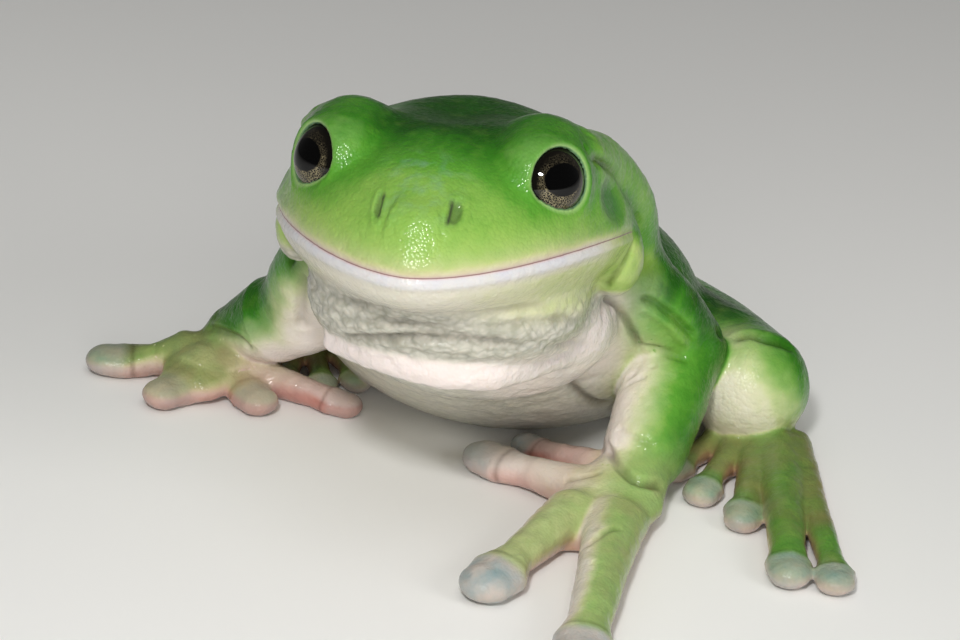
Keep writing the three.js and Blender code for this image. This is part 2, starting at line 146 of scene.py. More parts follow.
@dataclass(frozen=True)
class Bone:
    """A limb or digit laid along a smooth path.

    Each station is x, y, z, half width and half height.
    """

    stations: tuple[Numbers, ...]
    steps: int = 4

    def path(self) -> Array:
        """The stations with smooth ones between them."""
        s = np.array(self.stations, float)
        if len(s) < 3:
            return s
        ends = np.vstack([2 * s[0] - s[1], s, 2 * s[-1] - s[-2]])
        out = []
        for k in range(len(s) - 1):
            a, b, c, d = ends[k:k + 4]
            for t in np.arange(self.steps) / self.steps:
                out.append(
                    0.5 * (2 * b + (c - a) * t + (2 * a - 5 * b + 4 * c - d) * t * t
                           + (3 * b - 3 * c + d - a) * t ** 3)
                )
        out.append(s[-1])
        line = np.array(out)
        share = np.linspace(0, len(s) - 1, len(line))
        for column in (3, 4):
            line[:, column] = np.interp(share, np.arange(len(s)), s[:, column])
        return line

    def box(self) -> tuple[Array, Array]:
        """Lowest and highest corner."""
        line = self.path()
        girth = line[:, 3:5].max(axis=1)[:, None]
        return (line[:, :3] - girth).min(axis=0), (line[:, :3] + girth).max(axis=0)

    def nearest(self, p: Array) -> tuple[Array, Array, Array, Array]:
        """The nearest place on the path.

        Args:
            p: places, in millimetres.

        Returns:
            How far along the path (0 to 1), and the offset from the path sideways, upwards and
            along it.
        """
        line = self.path()
        best = np.full(len(p), 1e9)
        along = np.zeros(len(p))
        parts = np.zeros((len(p), 3))
        for k in range(len(line) - 1):
            a, b = line[k, :3], line[k + 1, :3]
            way = b - a
            length = np.linalg.norm(way)
            way = way / length
            aside = np.cross(way, (0.0, 0.0, 1.0))
            aside /= np.linalg.norm(aside)
            above = np.cross(aside, way)
            offset = p - a
            t = np.clip(offset @ way / length, 0, 1)
            offset = offset - t[:, None] * (way * length)
            square = np.einsum("ij,ij->i", offset, offset)
            closer = square < best
            best = np.where(closer, square, best)
            along = np.where(closer, (k + t) / (len(line) - 1), along)
            here = np.stack([offset @ aside, offset @ above, offset @ way], axis=1)
            parts = np.where(closer[:, None], here, parts)
        return along, parts[:, 0], parts[:, 1], parts[:, 2]

    def distance(self, p: Array) -> Array:
        """Signed distance of each place, close to exact near the surface."""
        line = self.path()
        along, side, up, end = self.nearest(p)
        marks = np.linspace(0, 1, len(line))
        wide = np.interp(along, marks, line[:, 3])
        high = np.interp(along, marks, line[:, 4])
        reach = np.sqrt((side / wide) ** 2 + (up / high) ** 2 + (end / wide) ** 2)
        slope = np.sqrt((side / wide ** 2) ** 2 + (up / high ** 2) ** 2 + (end / wide ** 2) ** 2)
        return reach * (reach - 1) / np.maximum(slope, 1e-9)


@dataclass(frozen=True)
class Web:
    """A thin sheet of skin between two digits, lying along the ground.

    corners are x, y pairs round its edge; heights are its height at the palm and at the rim.
    """

    corners: tuple[Numbers, ...]
    heights: Numbers
    thickness: float = 0.7

    def box(self) -> tuple[Array, Array]:
        """Lowest and highest corner."""
        c = np.array(self.corners)
        return np.append(c.min(axis=0), 0), np.append(c.max(axis=0), max(self.heights) + 1)

    def distance(self, p: Array) -> Array:
        """Signed distance of each place to the sheet."""
        c = np.array(self.corners)
        q = p[:, :2]
        square = np.full(len(p), 1e9)
        inside = np.ones(len(p))
        for i in range(len(c)):
            a, b = c[i], c[i - 1]
            way = b - a
            w = q - a
            t = np.clip(w @ way / (way @ way), 0, 1)
            off = w - t[:, None] * way
            square = np.minimum(square, np.einsum("ij,ij->i", off, off))
            above_a = q[:, 1] >= a[1]
            below_b = q[:, 1] < b[1]
            left = way[0] * w[:, 1] > way[1] * w[:, 0]
            flip = (above_a & below_b & left) | (~above_a & ~below_b & ~left)
            inside = np.where(flip, -inside, inside)
        edge = inside * np.sqrt(square)
        start = (c[0] + c[-1]) / 2
        end = c[len(c) // 2]
        way = end - start
        share = np.clip((q - start) @ way / (way @ way), 0, 1.3)
        level = self.heights[0] + (self.heights[1] - self.heights[0]) * share
        face = np.abs(p[:, 2] - level) - self.thickness / 2
        return -blend(-edge, -face, 0.5)


def join(total: Array, p: Array, form: "Blob | Bone | Web", soft: float) -> None:
    """Joins a form softly to a distance already found, only where the form is near."""
    here = within(p, *form.box(), FAR)
    if len(here):
        total[here] = blend(total[here], form.distance(p[here]), soft)


# ---------------------------------------------------------------- head
@dataclass(frozen=True)
class HeadPose:
    """Where the head sits and how it is turned, in the frog's frame."""

    seat: Numbers = (0.0, 0.0, 31.0)
    yaw: float = -0.7
    pitch: float = 9.1
    roll: float = 2.5

    def axes(self) -> Array:
        """Rows: the head's left, back and up, in the frog's frame."""
        yaw, pitch, roll = np.radians([self.yaw, self.pitch, self.roll])
        level = math.cos(pitch)
        back = np.array([-math.sin(yaw) * level, math.cos(yaw) * level, -math.sin(pitch)])
        aside = np.array([math.cos(yaw), math.sin(yaw), 0.0])
        above = np.cross(aside, back)
        left = aside * math.cos(roll) + above * math.sin(roll)
        up = above * math.cos(roll) - aside * math.sin(roll)
        return np.stack([left, back, up])

    def to_head(self, p: Array) -> Array:
        """Places of the frog's frame in the head's frame (left, back, up)."""
        return (p - self.seat) @ self.axes().T

    def to_frog(self, p: Sequence[float]) -> Array:
        """A place of the head's frame in the frog's frame."""
        return np.asarray(p, float) @ self.axes() + self.seat


@dataclass(frozen=True)
class EyeSeat:
    """One eye: where it sits in the head's frame, and where it looks."""

    sign: int
    radius: float = 4.6
    opening: float = 3.45
    seat: Numbers = (12.15, -14.3, 7.45)
    sink: float = 3.05
    splay: float = 49.0
    lift: float = 7.0

    def gaze(self) -> Array:
        """The way the eye looks, in the head's frame."""
        splay, lift = math.radians(self.splay), math.radians(self.lift)
        return np.array([
            self.sign * math.sin(splay) * math.cos(lift), -math.cos(splay) * math.cos(lift), math.sin(lift),
        ])

    def centre(self) -> Array:
        """Middle of the eyeball, in the head's frame."""
        return np.array([self.sign * self.seat[0], *self.seat[1:]]) - self.gaze() * self.sink


@dataclass(frozen=True)
class Head:
    """The head: a rounded-triangle outline with brows, ear folds, jaw lobes and a hollow crown."""

    pose: HeadPose = HeadPose()
    half_mouth: float = 18.15
    length: float = 27.7
    tail: float = 24.0
    height: float = 11.7
    jaw: float = 9.0
    arch: float = 4.12
    dip: float = 0.36
    side_power: float = 1.73
    front_power: float = 1.85
    jaw_power: float = 2.2
    evenness: float = 1.9
    brow: Blob = Blob((9.6, -9, 7.1), (5.5, 6.8, 5.9))
    brow_soft: float = 3.0
    fold: Bone = Bone((
        (12.4, -6, 8.1, 3.3, 3.3), (13.8, 2.4, 5.9, 3.2, 3.2), (16, 9.8, 0.4, 3.4, 3.4),
        (16.2, 15.5, -6.8, 3.5, 3.5),
    ))
    fold_soft: float = 2.0
    lobe: Blob = Blob((16.8, 2.2, -3.2), (2.6, 3.4, 4))
    lobe_soft: float = 1.5
    hollow: Blob = Blob((0, -1.5, 17.1), (6.5, 12, 6.3))
    hollow_soft: float = 4.0
    lid: float = 0.6
    lid_edge: float = 0.5
    lid_soft: float = 1.4
    socket_edge: float = 0.2
    socket_soft: float = 0.15
    socket_room: float = 0.04
    eyes: tuple[EyeSeat, ...] = (EyeSeat(1), EyeSeat(-1))

    def mouth_height(self, forward: Array) -> Array:
        """Height of the mouth line, at a distance in front of the mouth corners."""
        u = np.clip(forward / self.length, 0, 1.05)
        return self.arch * u * (1 - u) - self.dip * u * u

    def rise(self, h: Array) -> Array:
        """Height of each place of the head's frame above the mouth line."""
        return h[:, 2] - self.mouth_height(-h[:, 1])

    def skull(self, h: Array) -> Array:
        """Distance to the head without folds, in the head's frame."""
        rise = self.rise(h)
        front = (np.maximum(-h[:, 1], 0) / self.length) ** self.front_power
        back = (np.maximum(h[:, 1], 0) / self.tail) ** 2
        side = (np.abs(h[:, 0]) / self.half_mouth) ** self.side_power
        above = (np.maximum(rise, 0) / self.height) ** 2
        below = (np.maximum(-rise, 0) / self.jaw) ** self.jaw_power
        fill = np.maximum(side + front + back + np.where(rise > 0, above, below), 1e-6)
        # the factor keeps the value below the true distance, so that blends stay even
        return 0.8 * np.linalg.norm(h, axis=1) * (1 - fill ** (-1 / self.evenness))

    def distance(self, p: Array) -> Array:
        """Signed distance of each place of the frog's frame to the head."""
        h = self.pose.to_head(p)
        left = one_sided(h)
        d = self.skull(h)
        for form, soft in (
            (self.brow, self.brow_soft), (self.fold, self.fold_soft), (self.lobe, self.lobe_soft),
        ):
            d = blend(d, form.distance(left), soft)
        return carve(d, self.hollow.distance(left), self.hollow_soft)

    def seat_eyes(self, d: Array, p: Array) -> Array:
        """Adds the eyelids and opens the sockets.

        Args:
            d: distance to the head so far.
            p: places in the frog's frame.

        Returns:
            The distance with lids and sockets.
        """
        out = d.copy()
        h = self.pose.to_head(p)
        for eye in self.eyes:
            offset = h - eye.centre()
            r = np.linalg.norm(offset, axis=1)
            here = np.flatnonzero(r < eye.radius + 4)
            if not len(here):
                continue
            r_here = r[here]
            turn = np.arccos(np.clip(offset[here] @ eye.gaze() / np.maximum(r_here, 1e-6), -1, 1))
            rim = math.asin(eye.opening / eye.radius)
            lid = r_here - (eye.radius + self.lid)
            lid = -blend(-lid, (turn - rim) * r_here, self.lid_edge)
            local = blend(out[here], lid, self.lid_soft)
            socket = -blend(eye.radius - r_here, (rim + self.socket_room - turn) * r_here, self.socket_edge)
            out[here] = carve(local, socket, self.socket_soft)
        return out


# ---------------------------------------------------------------- limbs
@dataclass(frozen=True)
class Digit:
    """A finger or toe: where it starts, where its pad lies, and how thick it is."""

    root: Numbers
    tip: Numbers
    girth: float
    pad: float
    flatness: float = 0.64
    press: float = 0.3

    def stations(self) -> tuple[Numbers, ...]:
        """Knuckle, shaft, neck and pad, as a bone's stations."""
        root = np.array(self.root)
        tip = np.array([*self.tip, root[2]])
        length = float(np.linalg.norm(tip - root))
        flat = self.pad * self.flatness
        rest = flat - self.press
        neck = 1 - self.pad * 1.5 / length

        def at(share: float, height: float, wide: float, high: float) -> Numbers:
            """One station."""
            x, y = (root + (tip - root) * share)[:2]
            return (float(x), float(y), height, wide, high)

        return (
            (*self.root, self.girth * 1.25, self.girth * 1.1),
            at(0.5 * neck, self.girth, self.girth, self.girth * 0.95),
            at(neck, rest + 0.3, self.girth * 0.85, self.girth * 0.8),
            at(1 - self.pad * 0.45 / length, rest, self.pad * 0.97, flat),
            at(1 + self.pad * 0.25 / length, rest, self.pad * 0.9, flat * 0.9),
        )

    def bone(self) -> Bone:
        """The digit as one bone."""
        return Bone(self.stations(), steps=3)


@dataclass(frozen=True)
class Limb:
    """A front or hind limb: its named bones from the trunk outwards, its digits and its webs."""

    name: str
    bones: dict[str, tuple[Numbers, ...]]
    digits: tuple[Digit, ...]
    webbed: float
    rooted: float = 3.5

    def webs(self) -> list[Web]:
        """A thin sheet between each two neighbouring digits."""
        out = []
        for a, b in zip(self.digits[:-1], self.digits[1:]):
            ra, rb = np.array(a.root[:2]), np.array(b.root[:2])
            ta, tb = np.array(a.tip), np.array(b.tip)
            ea, eb = ra + (ta - ra) * self.webbed, rb + (tb - rb) * self.webbed
            middle = (ea + eb) / 2
            palm = (ra + rb) / 2
            dent = palm + (middle - palm) * 0.62
            corners = tuple(tuple(map(float, c)) for c in (ra, ea, dent, eb, rb))
            out.append(Web(corners, (a.root[2] * 0.9, 1.0)))
        return out

    def forms(self) -> list[tuple[str, "Bone | Web", float]]:
        """Every form with its name and how softly it joins what comes before."""
        out: list[tuple[str, Bone | Web, float]] = []
        for i, (name, stations) in enumerate(self.bones.items()):
            out.append((name, Bone(stations), self.rooted if i == 0 else 1.4))
        out += [(f"digit_{i + 1}", digit.bone(), 1.3) for i, digit in enumerate(self.digits)]
        out += [("web", web, 0.9) for web in self.webs()]
        return out


LEFT_ARM = Limb("left_arm", {
    "upper_arm": ((12, 9, 23, 5.5, 5.5), (19.5, 13.5, 18, 4.9, 4.9), (23.6, 16.8, 12.3, 4.5, 4.5)),
    "forearm": ((23.4, 16.2, 11.8, 4.5, 4.5), (22.4, 11, 8.8, 4.9, 4.9), (21.6, 5.2, 5.2, 4.5, 4.5)),
    "hand": ((21.4, 3.2, 3.9, 3.6, 3.2), (19.6, -2.4, 2.7, 5.4, 2.7), (18.6, -7.4, 2.1, 4.9, 2.2)),
}, (
    Digit((16.2, 4.6, 2.2), (8.8, 9.6), 1.8, 2.1),
    Digit((15, -0.6, 2.3), (5.4, 4), 2.1, 2.9),
    Digit((15.6, -7.4, 2.4), (10, -22.6), 2.3, 3.2),
    Digit((20.4, -8.2, 2.5), (20.8, -34), 2.6, 3.2),
), 0.3)
RIGHT_ARM = Limb("right_arm", {
    "upper_arm": ((-12, 9, 22, 5.5, 5.5), (-16.5, 11.5, 17, 4.9, 4.9), (-18.6, 15, 11.2, 4.7, 4.7)),
    "forearm": ((-18.8, 15.2, 10.6, 4.8, 4.8), (-22, 16.4, 8.6, 4.9, 4.9), (-26.6, 18.4, 5.4, 3.3, 3.3)),
    "hand": ((-26.8, 18.8, 4.5, 3.1, 2.8), (-28.2, 16.2, 3.2, 4.1, 2.6), (-29.2, 13, 2.3, 4.3, 2.2)),
}, (
    Digit((-24.4, 15.8, 2.2), (-13.2, 13.2), 1.8, 2.2),
    Digit((-25.8, 14.2, 2.4), (-22.4, 10.8), 1.9, 2.5),
    Digit((-29.6, 13.4, 2.6), (-31.8, 9), 2.2, 2.7),
    Digit((-32, 16.6, 2.8), (-39.6, 14.8), 2.2, 2.8),
), 0.3)
LEFT_LEG = Limb("left_leg", {
    "thigh": ((6, 50, 7.2, 6.4, 6.2), (14.5, 39, 7, 6.6, 6.2), (26, 26, 7.7, 6.2, 5.8)),
    "shank": ((31, 20.6, 7.1, 6.6, 6.6), (25, 35, 5.8, 5.5, 5.2), (14.5, 54, 4, 3.4, 3.4)),
    "tarsus": ((16.5, 56, 3.2, 2.8, 2.8), (24.5, 46, 2.4, 2.7, 2.4), (29.8, 33, 2.4, 2.9, 2.3)),
    "foot": ((30, 32, 2.2, 3, 2.3), (31.6, 24.5, 1.8, 3.9, 1.9), (33, 18.6, 1.5, 4.6, 1.7)),
}, (
    Digit((29.2, 19.4, 1.8), (24.8, 9.6), 1.4, 1.9),
    Digit((30.8, 17, 1.9), (28.2, 5), 1.5, 2.2),
    Digit((33, 15.4, 2), (33, 0.6), 1.7, 2.3),
    Digit((35.2, 15.4, 2), (38.8, -10.2), 2.2, 2.5),
    Digit((36.8, 17.8, 1.9), (43.6, -10.2), 1.6, 2.3),
), 0.62, 3.0)
RIGHT_LEG = Limb("right_leg", {
    "thigh": ((-5, 50, 7.6, 6.4, 6.4), (-11, 40, 8.2, 6.2, 6.2), (-17, 31, 9.2, 5.6, 5.6)),
    "shank": ((-18.4, 28.6, 8.8, 5.6, 5.6), (-17.8, 38.5, 7.8, 5.4, 5.2), (-12.5, 56, 4.4, 3.3, 3.3)),
    "tarsus": ((-14, 57.5, 3.2, 2.8, 2.8), (-21, 50, 2.4, 2.7, 2.4), (-24.2, 41, 2.4, 2.9, 2.3)),
    "foot": ((-24.4, 40, 2.2, 3.2, 2.3), (-22.6, 34.5, 1.5, 3.7, 1.7), (-20.6, 30.5, 1.3, 4, 1.5)),
}, (
    Digit((-17.6, 31.4, 1.6), (-10.6, 23.6), 1.2, 1.6),
    Digit((-18.4, 29.2, 1.6), (-13, 20), 1.2, 1.8),
    Digit((-19.8, 27.8, 1.6), (-16.2, 17.4), 1.3, 1.9),
    Digit((-21.2, 27.2, 1.6), (-20.2, 16.4), 1.3, 1.9),
    Digit((-22.8, 28.8, 1.6), (-24, 21.6), 1.2, 1.6),
), 0.62, 3.0)


# ---------------------------------------------------------------- whole body
@dataclass(frozen=True)
class Body:
    """The whole frog as one soft form.

    Trunk, chest roll and limbs are in the frog's frame, the throat in the head's.
    """

    head: Head = Head()
    trunk: tuple[Blob, ...] = (
        Blob((1, 15, 20.2), (18, 17.5, 14.6)),
        Blob((3, 20, 11), (18, 13.5, 9)),
        Blob((2, 27, 11), (22.3, 17.5, 13.8)),
        Blob((1, 46.5, 8.5), (12.5, 16.5, 9.6)),
    )
    trunk_soft: float = 8.0
    throat: tuple[Blob, ...] = (
        Blob((0.6, -6, -7.2), (14.2, 14, 7.6)),
        Blob((2, 4, -11.5), (14.6, 12.5, 8.5)),
    )
    throat_soft: float = 5.0
    neck_soft: float = 4.0
    roll_soft: float = 0.9
    chest_roll: Bone = Bone((
        (-9, -13.4, 21.2, 1.5, 1.5), (-3.6, -17, 22.1, 2, 2), (2, -17.6, 21.9, 2.3, 2.3),
        (7.2, -15.4, 21.3, 2.1, 2.1), (11.4, -9.4, 20.1, 1.3, 1.3), (14, -3.6, 18.9, 0.8, 0.8),
    ), steps=5)
    limbs: tuple[Limb, ...] = (LEFT_ARM, RIGHT_ARM, LEFT_LEG, RIGHT_LEG)

    def core(self, p: Array) -> Array:
        """Distance to trunk, throat and head."""
        d = self.trunk[0].distance(p)
        for form in self.trunk[1:]:
            d = blend(d, form.distance(p), self.trunk_soft)
        h = self.head.pose.to_head(p)
        throat = blend(self.throat[0].distance(h), self.throat[1].distance(h), self.throat_soft)
        d = blend(d, throat, self.neck_soft)
        here = within(p, *self.chest_roll.box(), 2)
        d[here] = blend(d[here], self.chest_roll.distance(p[here]), self.roll_soft)
        return blend(d, self.head.distance(p), self.neck_soft)

    def distance(self, p: Array) -> Array:
        """Signed distance of each place to the frog."""
        total = self.core(p)
        total = np.minimum(total, FAR)
        for limb in self.limbs:
            for _, form, soft in limb.forms():
                join(total, p, form, soft)
        total = self.head.seat_eyes(total, p)
        return np.maximum(total, -p[:, 2])


@dataclass(frozen=True)
class Skinner:
    """Lays an even mesh of quads on a soft form.

    The form is asked on a grid, one corner is put in each cell that the surface crosses, and the
    corners are then moved onto the surface itself.
    """

    spacing: float
    low: Numbers = (-54.0, -36.0, -1.5)
    high: Numbers = (56.0, 76.0, 52.0)
    coarse: int = 4
    settle: int = 3

    def gradient(self, ask: Callable[[Array], Array], p: Array, base: Array) -> Array:
        """Slope of the form at each place."""
        step = 0.02
        return np.stack([(ask(p + np.eye(3)[i] * step) - base) / step for i in range(3)], axis=1)

    def sample(self, ask: Callable[[Array], Array]) -> Array:
        """The form's distances on the grid, exact near the surface and only signed elsewhere."""
        low = np.array(self.low)
        c, h = self.coarse, self.spacing
        count = np.ceil((np.array(self.high) - low) / (h * c)).astype(int) + 1
        blocks = np.stack(np.meshgrid(*[np.arange(n) for n in count], indexing="ij"), -1).reshape(-1, 3)
        middle = ask(low + (blocks + 0.5) * (h * c))
        close = np.abs(middle) < h * c * 1.3
        sign = np.sign(middle).reshape(tuple(count)).astype(np.float32) * FAR
        values = sign.repeat(c, 0).repeat(c, 1).repeat(c, 2)
        inner = np.stack(np.meshgrid(*[np.arange(c)] * 3, indexing="ij"), -1).reshape(-1, 3)
        index = (blocks[close][:, None, :] * c + inner[None]).reshape(-1, 3)
        batch = 300000
        for s in range(0, len(index), batch):
            i = index[s:s + batch]
            values[i[:, 0], i[:, 1], i[:, 2]] = ask(low + i * h)
        return values

    def skin(self, ask: Callable[[Array], Array]) -> tuple[Array, Array, Array]:
        """Builds the mesh.

        Args:
            ask: signed distance of places.

        Returns:
            Corners, quads and the outward direction at each corner.
        """
        v = self.sample(ask)
        solid = v < 0
        count = np.zeros(np.array(v.shape) - 1, np.int8)
        for i, j, k in np.ndindex(2, 2, 2):
            n = count.shape
            count += solid[i:n[0] + i, j:n[1] + j, k:n[2] + k]
        crossed = (count > 0) & (count < 8)
        cells = np.argwhere(crossed)
        number = np.full(crossed.shape, -1, np.int32)
        number[crossed] = np.arange(len(cells))
        total, shares = np.zeros((len(cells), 3)), np.zeros(len(cells))
        for corner in np.ndindex(2, 2, 2):
            for axis in range(3):
                if corner[axis]:
                    continue
                a = cells + corner
                b = a + np.eye(3, dtype=int)[axis]
                va, vb = v[tuple(a.T)], v[tuple(b.T)]
                cut = (va < 0) != (vb < 0)
                t = np.where(cut, va / np.where(cut, va - vb, 1), 0)
                place = np.array(corner, float) + np.eye(3)[axis] * t[:, None]
                total[cut] += place[cut]
                shares += cut
        corners = np.array(self.low) + (cells + total / shares[:, None]) * self.spacing
        quads = []
        for axis in range(3):
            u, w = (axis + 1) % 3, (axis + 2) % 3
            here = [slice(1, -1)] * 3
            there = [slice(1, -1)] * 3
            here[axis], there[axis] = slice(0, -1), slice(1, None)
            a, b = solid[tuple(here)], solid[tuple(there)]
            edge = np.argwhere(a != b)
            outward = a[tuple(edge.T)]
            base = edge + 1
            base[:, axis] -= 1
            ring = []
            for du, dw in ((1, 1), (0, 1), (0, 0), (1, 0)):
                q = base.copy()
                q[:, u] -= du
                q[:, w] -= dw
                ring.append(number[tuple(q.T)])
            quad = np.stack(ring, 1)
            quad[~outward] = quad[~outward][:, ::-1]
            quads.append(quad)
        quads = np.concatenate(quads)
        slope = np.zeros_like(corners)
        for _ in range(self.settle):
            base = ask(corners)
            slope = self.gradient(ask, corners, base)
            steep = np.einsum("ij,ij->i", slope, slope)
            step = np.clip(base / np.maximum(steep, 1e-3), -0.6 * self.spacing, 0.6 * self.spacing)
            corners = corners - slope * (0.9 * step)[:, None]
            corners[:, 2] = np.maximum(corners[:, 2], 0)
        normal = slope / np.maximum(np.linalg.norm(slope, axis=1), 1e-6)[:, None]
        return corners, quads, normal


# ---------------------------------------------------------------- skin: folds, regions and relief
@dataclass(frozen=True)
class Fold:
    """A crease or ridge along a line on the skin.

    Its line is in the frog's frame, or in the head's frame for folds that both sides share. The
    height is in millimetres, below zero for a crease, and the painted shade is how far its bottom is
    darkened, as shade in the crease.
    """

    line: tuple[Numbers, ...]
    width: float
    height: float
    painted_shade: float = 0.0
    on_head: bool = False

    def shade(self, p: Array, h: Array) -> tuple[Array, Array]:
        """Which corners the fold reaches, and how strongly."""
        q = one_sided(h) if self.on_head else p
        line = np.array(self.line, float)
        here = within(q, line.min(axis=0), line.max(axis=0), 2.5 * self.width)
        bone = Bone(tuple((*c, self.width, self.width) for c in line.tolist()), steps=4)
        along, *offset = bone.nearest(q[here])
        gap = np.linalg.norm(offset, axis=0)
        taper = ramp(along, -0.02, 0.12) * ramp(-along, -1.02, -0.88)
        return here, hump(gap, self.width) * taper


FOLDS: tuple[Fold, ...] = (
    # throat
    Fold((
        (-9, -15.8, 22.7), (-4.1, -19.9, 24.8), (1.5, -20.9, 26.2), (7.7, -19.1, 26), (12.6, -12.4, 23.6),
        (15, -4.5, 20.6),
    ), 0.5, -0.7, 0.6),
    Fold((
        (-7.2, -18.5, 26.2), (-1.6, -20.8, 27.4), (2.4, -20.8, 27.6), (9.8, -17.5, 27.8),
        (13.2, -13.5, 27.1), (15.1, -4, 24),
    ), 0.4, -0.4, 0.35),
    Fold((
        (-8.9, -17.1, 27.6), (-3.7, -20.8, 29), (1.7, -22, 29.8), (8.8, -18.2, 29.4), (12.2, -14.4, 28.9),
    ), 0.45, -0.25, 0.35),
    Fold(((-9.8, -13.5, 25), (-4.6, -19, 26), (1.5, -21, 26.9), (6, -19.8, 26.9)), 0.35, -0.25, 0.3),
    # belly, from the chest roll to the elbow
    Fold((
        (12.6, -8, 19.4), (12.9, 1, 14), (12.9, 6, 11), (14.6, 9.5, 7.7), (16.8, 12.8, 6.1),
    ), 0.5, -0.6, 0.8),
    Fold(((9, -9, 18.4), (6, -4, 15.6), (1, 1, 12.6), (-6, 5, 10.6)), 0.7, -0.35, 0.3),
    # between throat and upper arm, with the pleats that run from its upper end
    Fold((
        (15.7, -0.7, 24.5), (16.5, 3.4, 22.4), (17.3, 5, 20.8), (19, 8.6, 16), (19.7, 10.1, 12.8),
    ), 0.45, -0.7, 0.75),
    Fold(((15.9, 0.4, 24), (15.9, -1, 21.6), (15.4, -2.6, 19.6)), 0.4, -0.35, 0.5),
    Fold(((16.4, 2.4, 22.6), (16.6, 2.6, 19.4), (16.2, 3.6, 16.4)), 0.4, -0.35, 0.5),
    Fold(((17, 4.4, 21), (17.6, 6, 18), (17.6, 7.6, 14.6)), 0.4, -0.3, 0.4),
    # elbow, and the edge between upper arm and flank
    Fold(((18.9, 9.4, 12), (20, 9.4, 14.6), (22.1, 10.3, 14.3), (24.9, 10.5, 13.5)), 0.5, -0.5, 0.3),
    Fold(((18.4, 9.3, 10.6), (19.6, 8.7, 13), (21.6, 9, 13.2)), 0.35, -0.3, 0.15),
    Fold(((18.2, 8.8, 9.4), (19.2, 8, 11.6), (20.8, 8, 12.2)), 0.35, -0.25, 0.15),
    Fold((
        (19.1, 7.2, 21.6), (20.7, 8.5, 20.6), (22, 9.4, 19.4), (23.6, 10.6, 17.7), (25.2, 12.1, 15.4),
    ), 0.4, -0.7, 0.4),
    Fold((
        (18.8, 6.8, 20.7), (20, 7.8, 19.9), (21.3, 8.7, 18.7), (22.6, 9.8, 17.3), (24.7, 11.3, 14.5),
    ), 0.5, 0.5),
    # left wrist
    Fold(((17.6, 3, 5.9), (19.7, -1.4, 5.5), (22.1, -3, 5), (25.2, -1, 4.4)), 0.5, -0.75, 0.7),
    Fold(((17.7, 3.6, 6.6), (19.8, -0.7, 6.3), (22.1, -2.2, 5.9), (25, -0.3, 5.4)), 0.4, 0.3),
    Fold(((18.5, 3.5, 7.9), (19.8, 2.2, 8), (21.2, 1.5, 7.8), (23, 1.5, 7.4)), 0.35, -0.2, 0.1),
    # left palm: between the last two fingers, at the root of the second, and beside the third disc
    Fold(((21.6, -13.4, 5.3), (20.4, -15, 5.1), (19.1, -16.9, 4.6), (18, -17, 3.3)), 0.4, -0.4, 0.4),
    Fold(((14, -2.4, 3.8), (15.6, -2.7, 4.5), (18.1, -2.2, 5.1)), 0.35, -0.3, 0.35),
    Fold(((12, -20.4, 4), (12.9, -20.9, 3.5), (13.6, -21.2, 2.9)), 0.6, 0.35),
    # right armpit and wrist
    Fold(((-16.9, 5.4, 19.5), (-17.2, 6.4, 16.8), (-17.3, 7.8, 13.8), (-17.3, 9.7, 10.8)), 0.7, -0.7, 0.35),
    Fold(((-29.7, 17.2, 6.1), (-27, 14.6, 7.1), (-24.9, 12.9, 7.4), (-23.4, 12.3, 6.6)), 0.5, -0.5, 0.4),
    Fold(((-29.3, 17, 6.8), (-26.6, 14.4, 7.8), (-24.4, 12.7, 8), (-22.9, 12.1, 7.2)), 0.4, 0.35),
    # left knee
    Fold(((26.8, 15.2, 15.3), (29.5, 19.6, 13.7), (32.4, 19.6, 13.3), (35.4, 21, 12)), 0.7, -0.9, 0.8),
    # bridge of the snout, between the nostrils
    Fold((
        (-2.6, -24.8, 5.4), (0.2, -25.2, 5.3), (1.8, -25, 5.4), (2.6, -24.8, 5.4),
    ), 1.9, 0.5, on_head=True),
    # both sides of the head: behind the eye, in front of the ear roll, and around the jaw lobe
    Fold((
        (14.8, -9.4, 9.6), (15.8, -6, 8), (16.9, -1.8, 6), (17.9, 1.4, 3.6), (18.4, 4.6, 1),
        (18.4, 7.4, -1.6),
    ), 0.55, -0.9, 0.9, on_head=True),
    Fold(((13.9, -10.4, 10.8), (14.7, -9.6, 9.4), (15.4, -7.6, 8)), 0.35, -0.4, 0.3, on_head=True),
    Fold(((12.9, -8.2, 11.4), (14.3, -6.8, 10.4), (15.1, -4.8, 9)), 0.4, -0.25, 0.2, on_head=True),
    Fold((
        (18.3, 0.2, -0.5), (17.9, -0.9, -2.8), (16.7, -1, -4.8), (15.9, -0.2, -6.1),
    ), 0.3, -0.5, 0.35, on_head=True),
    Fold((
        (19.2, 3.2, 0.5), (19.5, 3.4, -3.5), (19.2, 6, -7), (19, 9, -9.3),
    ), 0.5, -0.55, 0.6, on_head=True),
)


class Region(Enum):
    """What the skin carries at each corner of its mesh: masks from 0 to 1, and one height."""

    PALE = "pale"  # how far the green has given way to the cream underside
    SHADE = "shade"  # from the light green of the snout to the dark green of crown and back, that dark partly painted shade
    ROSE = "rose"  # pinkish white of the chest roll and the inner arms
    FLUSH = "flush"  # pink flesh of webs, thumbs and creases
    GREY = "grey"  # granular grey of throat and belly
    PAD = "pad"  # discs of the digits
    EAR = "ear"  # dark shining eardrum, its darker green partly painted shade in its hollow
    CREASE = "crease"  # painted shade in the bottom of folds and in the rings behind the discs
    MOUTH = "mouth"  # where the mouth has lips
    RISE = "rise"  # height above the mouth line, in millimetres
    WHITE = "white"  # how white the lips are, less towards the corners
    NOSTRIL = "nostril"  # painted shade in the pits of the nostrils
    BLOOM = "bloom"  # faint blue-grey flecks on the bridge of the snout


@dataclass(frozen=True)
class Cover:
    """How a bone is coloured: the way its green side faces, and how green, pale or pink it is.

    The edge is where the green ends (-1 is nowhere, 1 is everywhere pale), least and most bound
    the pale, the shade is how dark its green is, the added shade how much darker its outer side is
    painted, as shade on the side turned away from the front, and the pad is how grey its disc is.
    """

    outer: Numbers
    edge: float = 0.0
    least: float = 0.0
    flush: float = 0.0
    shade: float = 0.3
    rose: float = 0.0
    pad: float = 1.0
    added_shade: float = 0.3
    most: float = 1.0


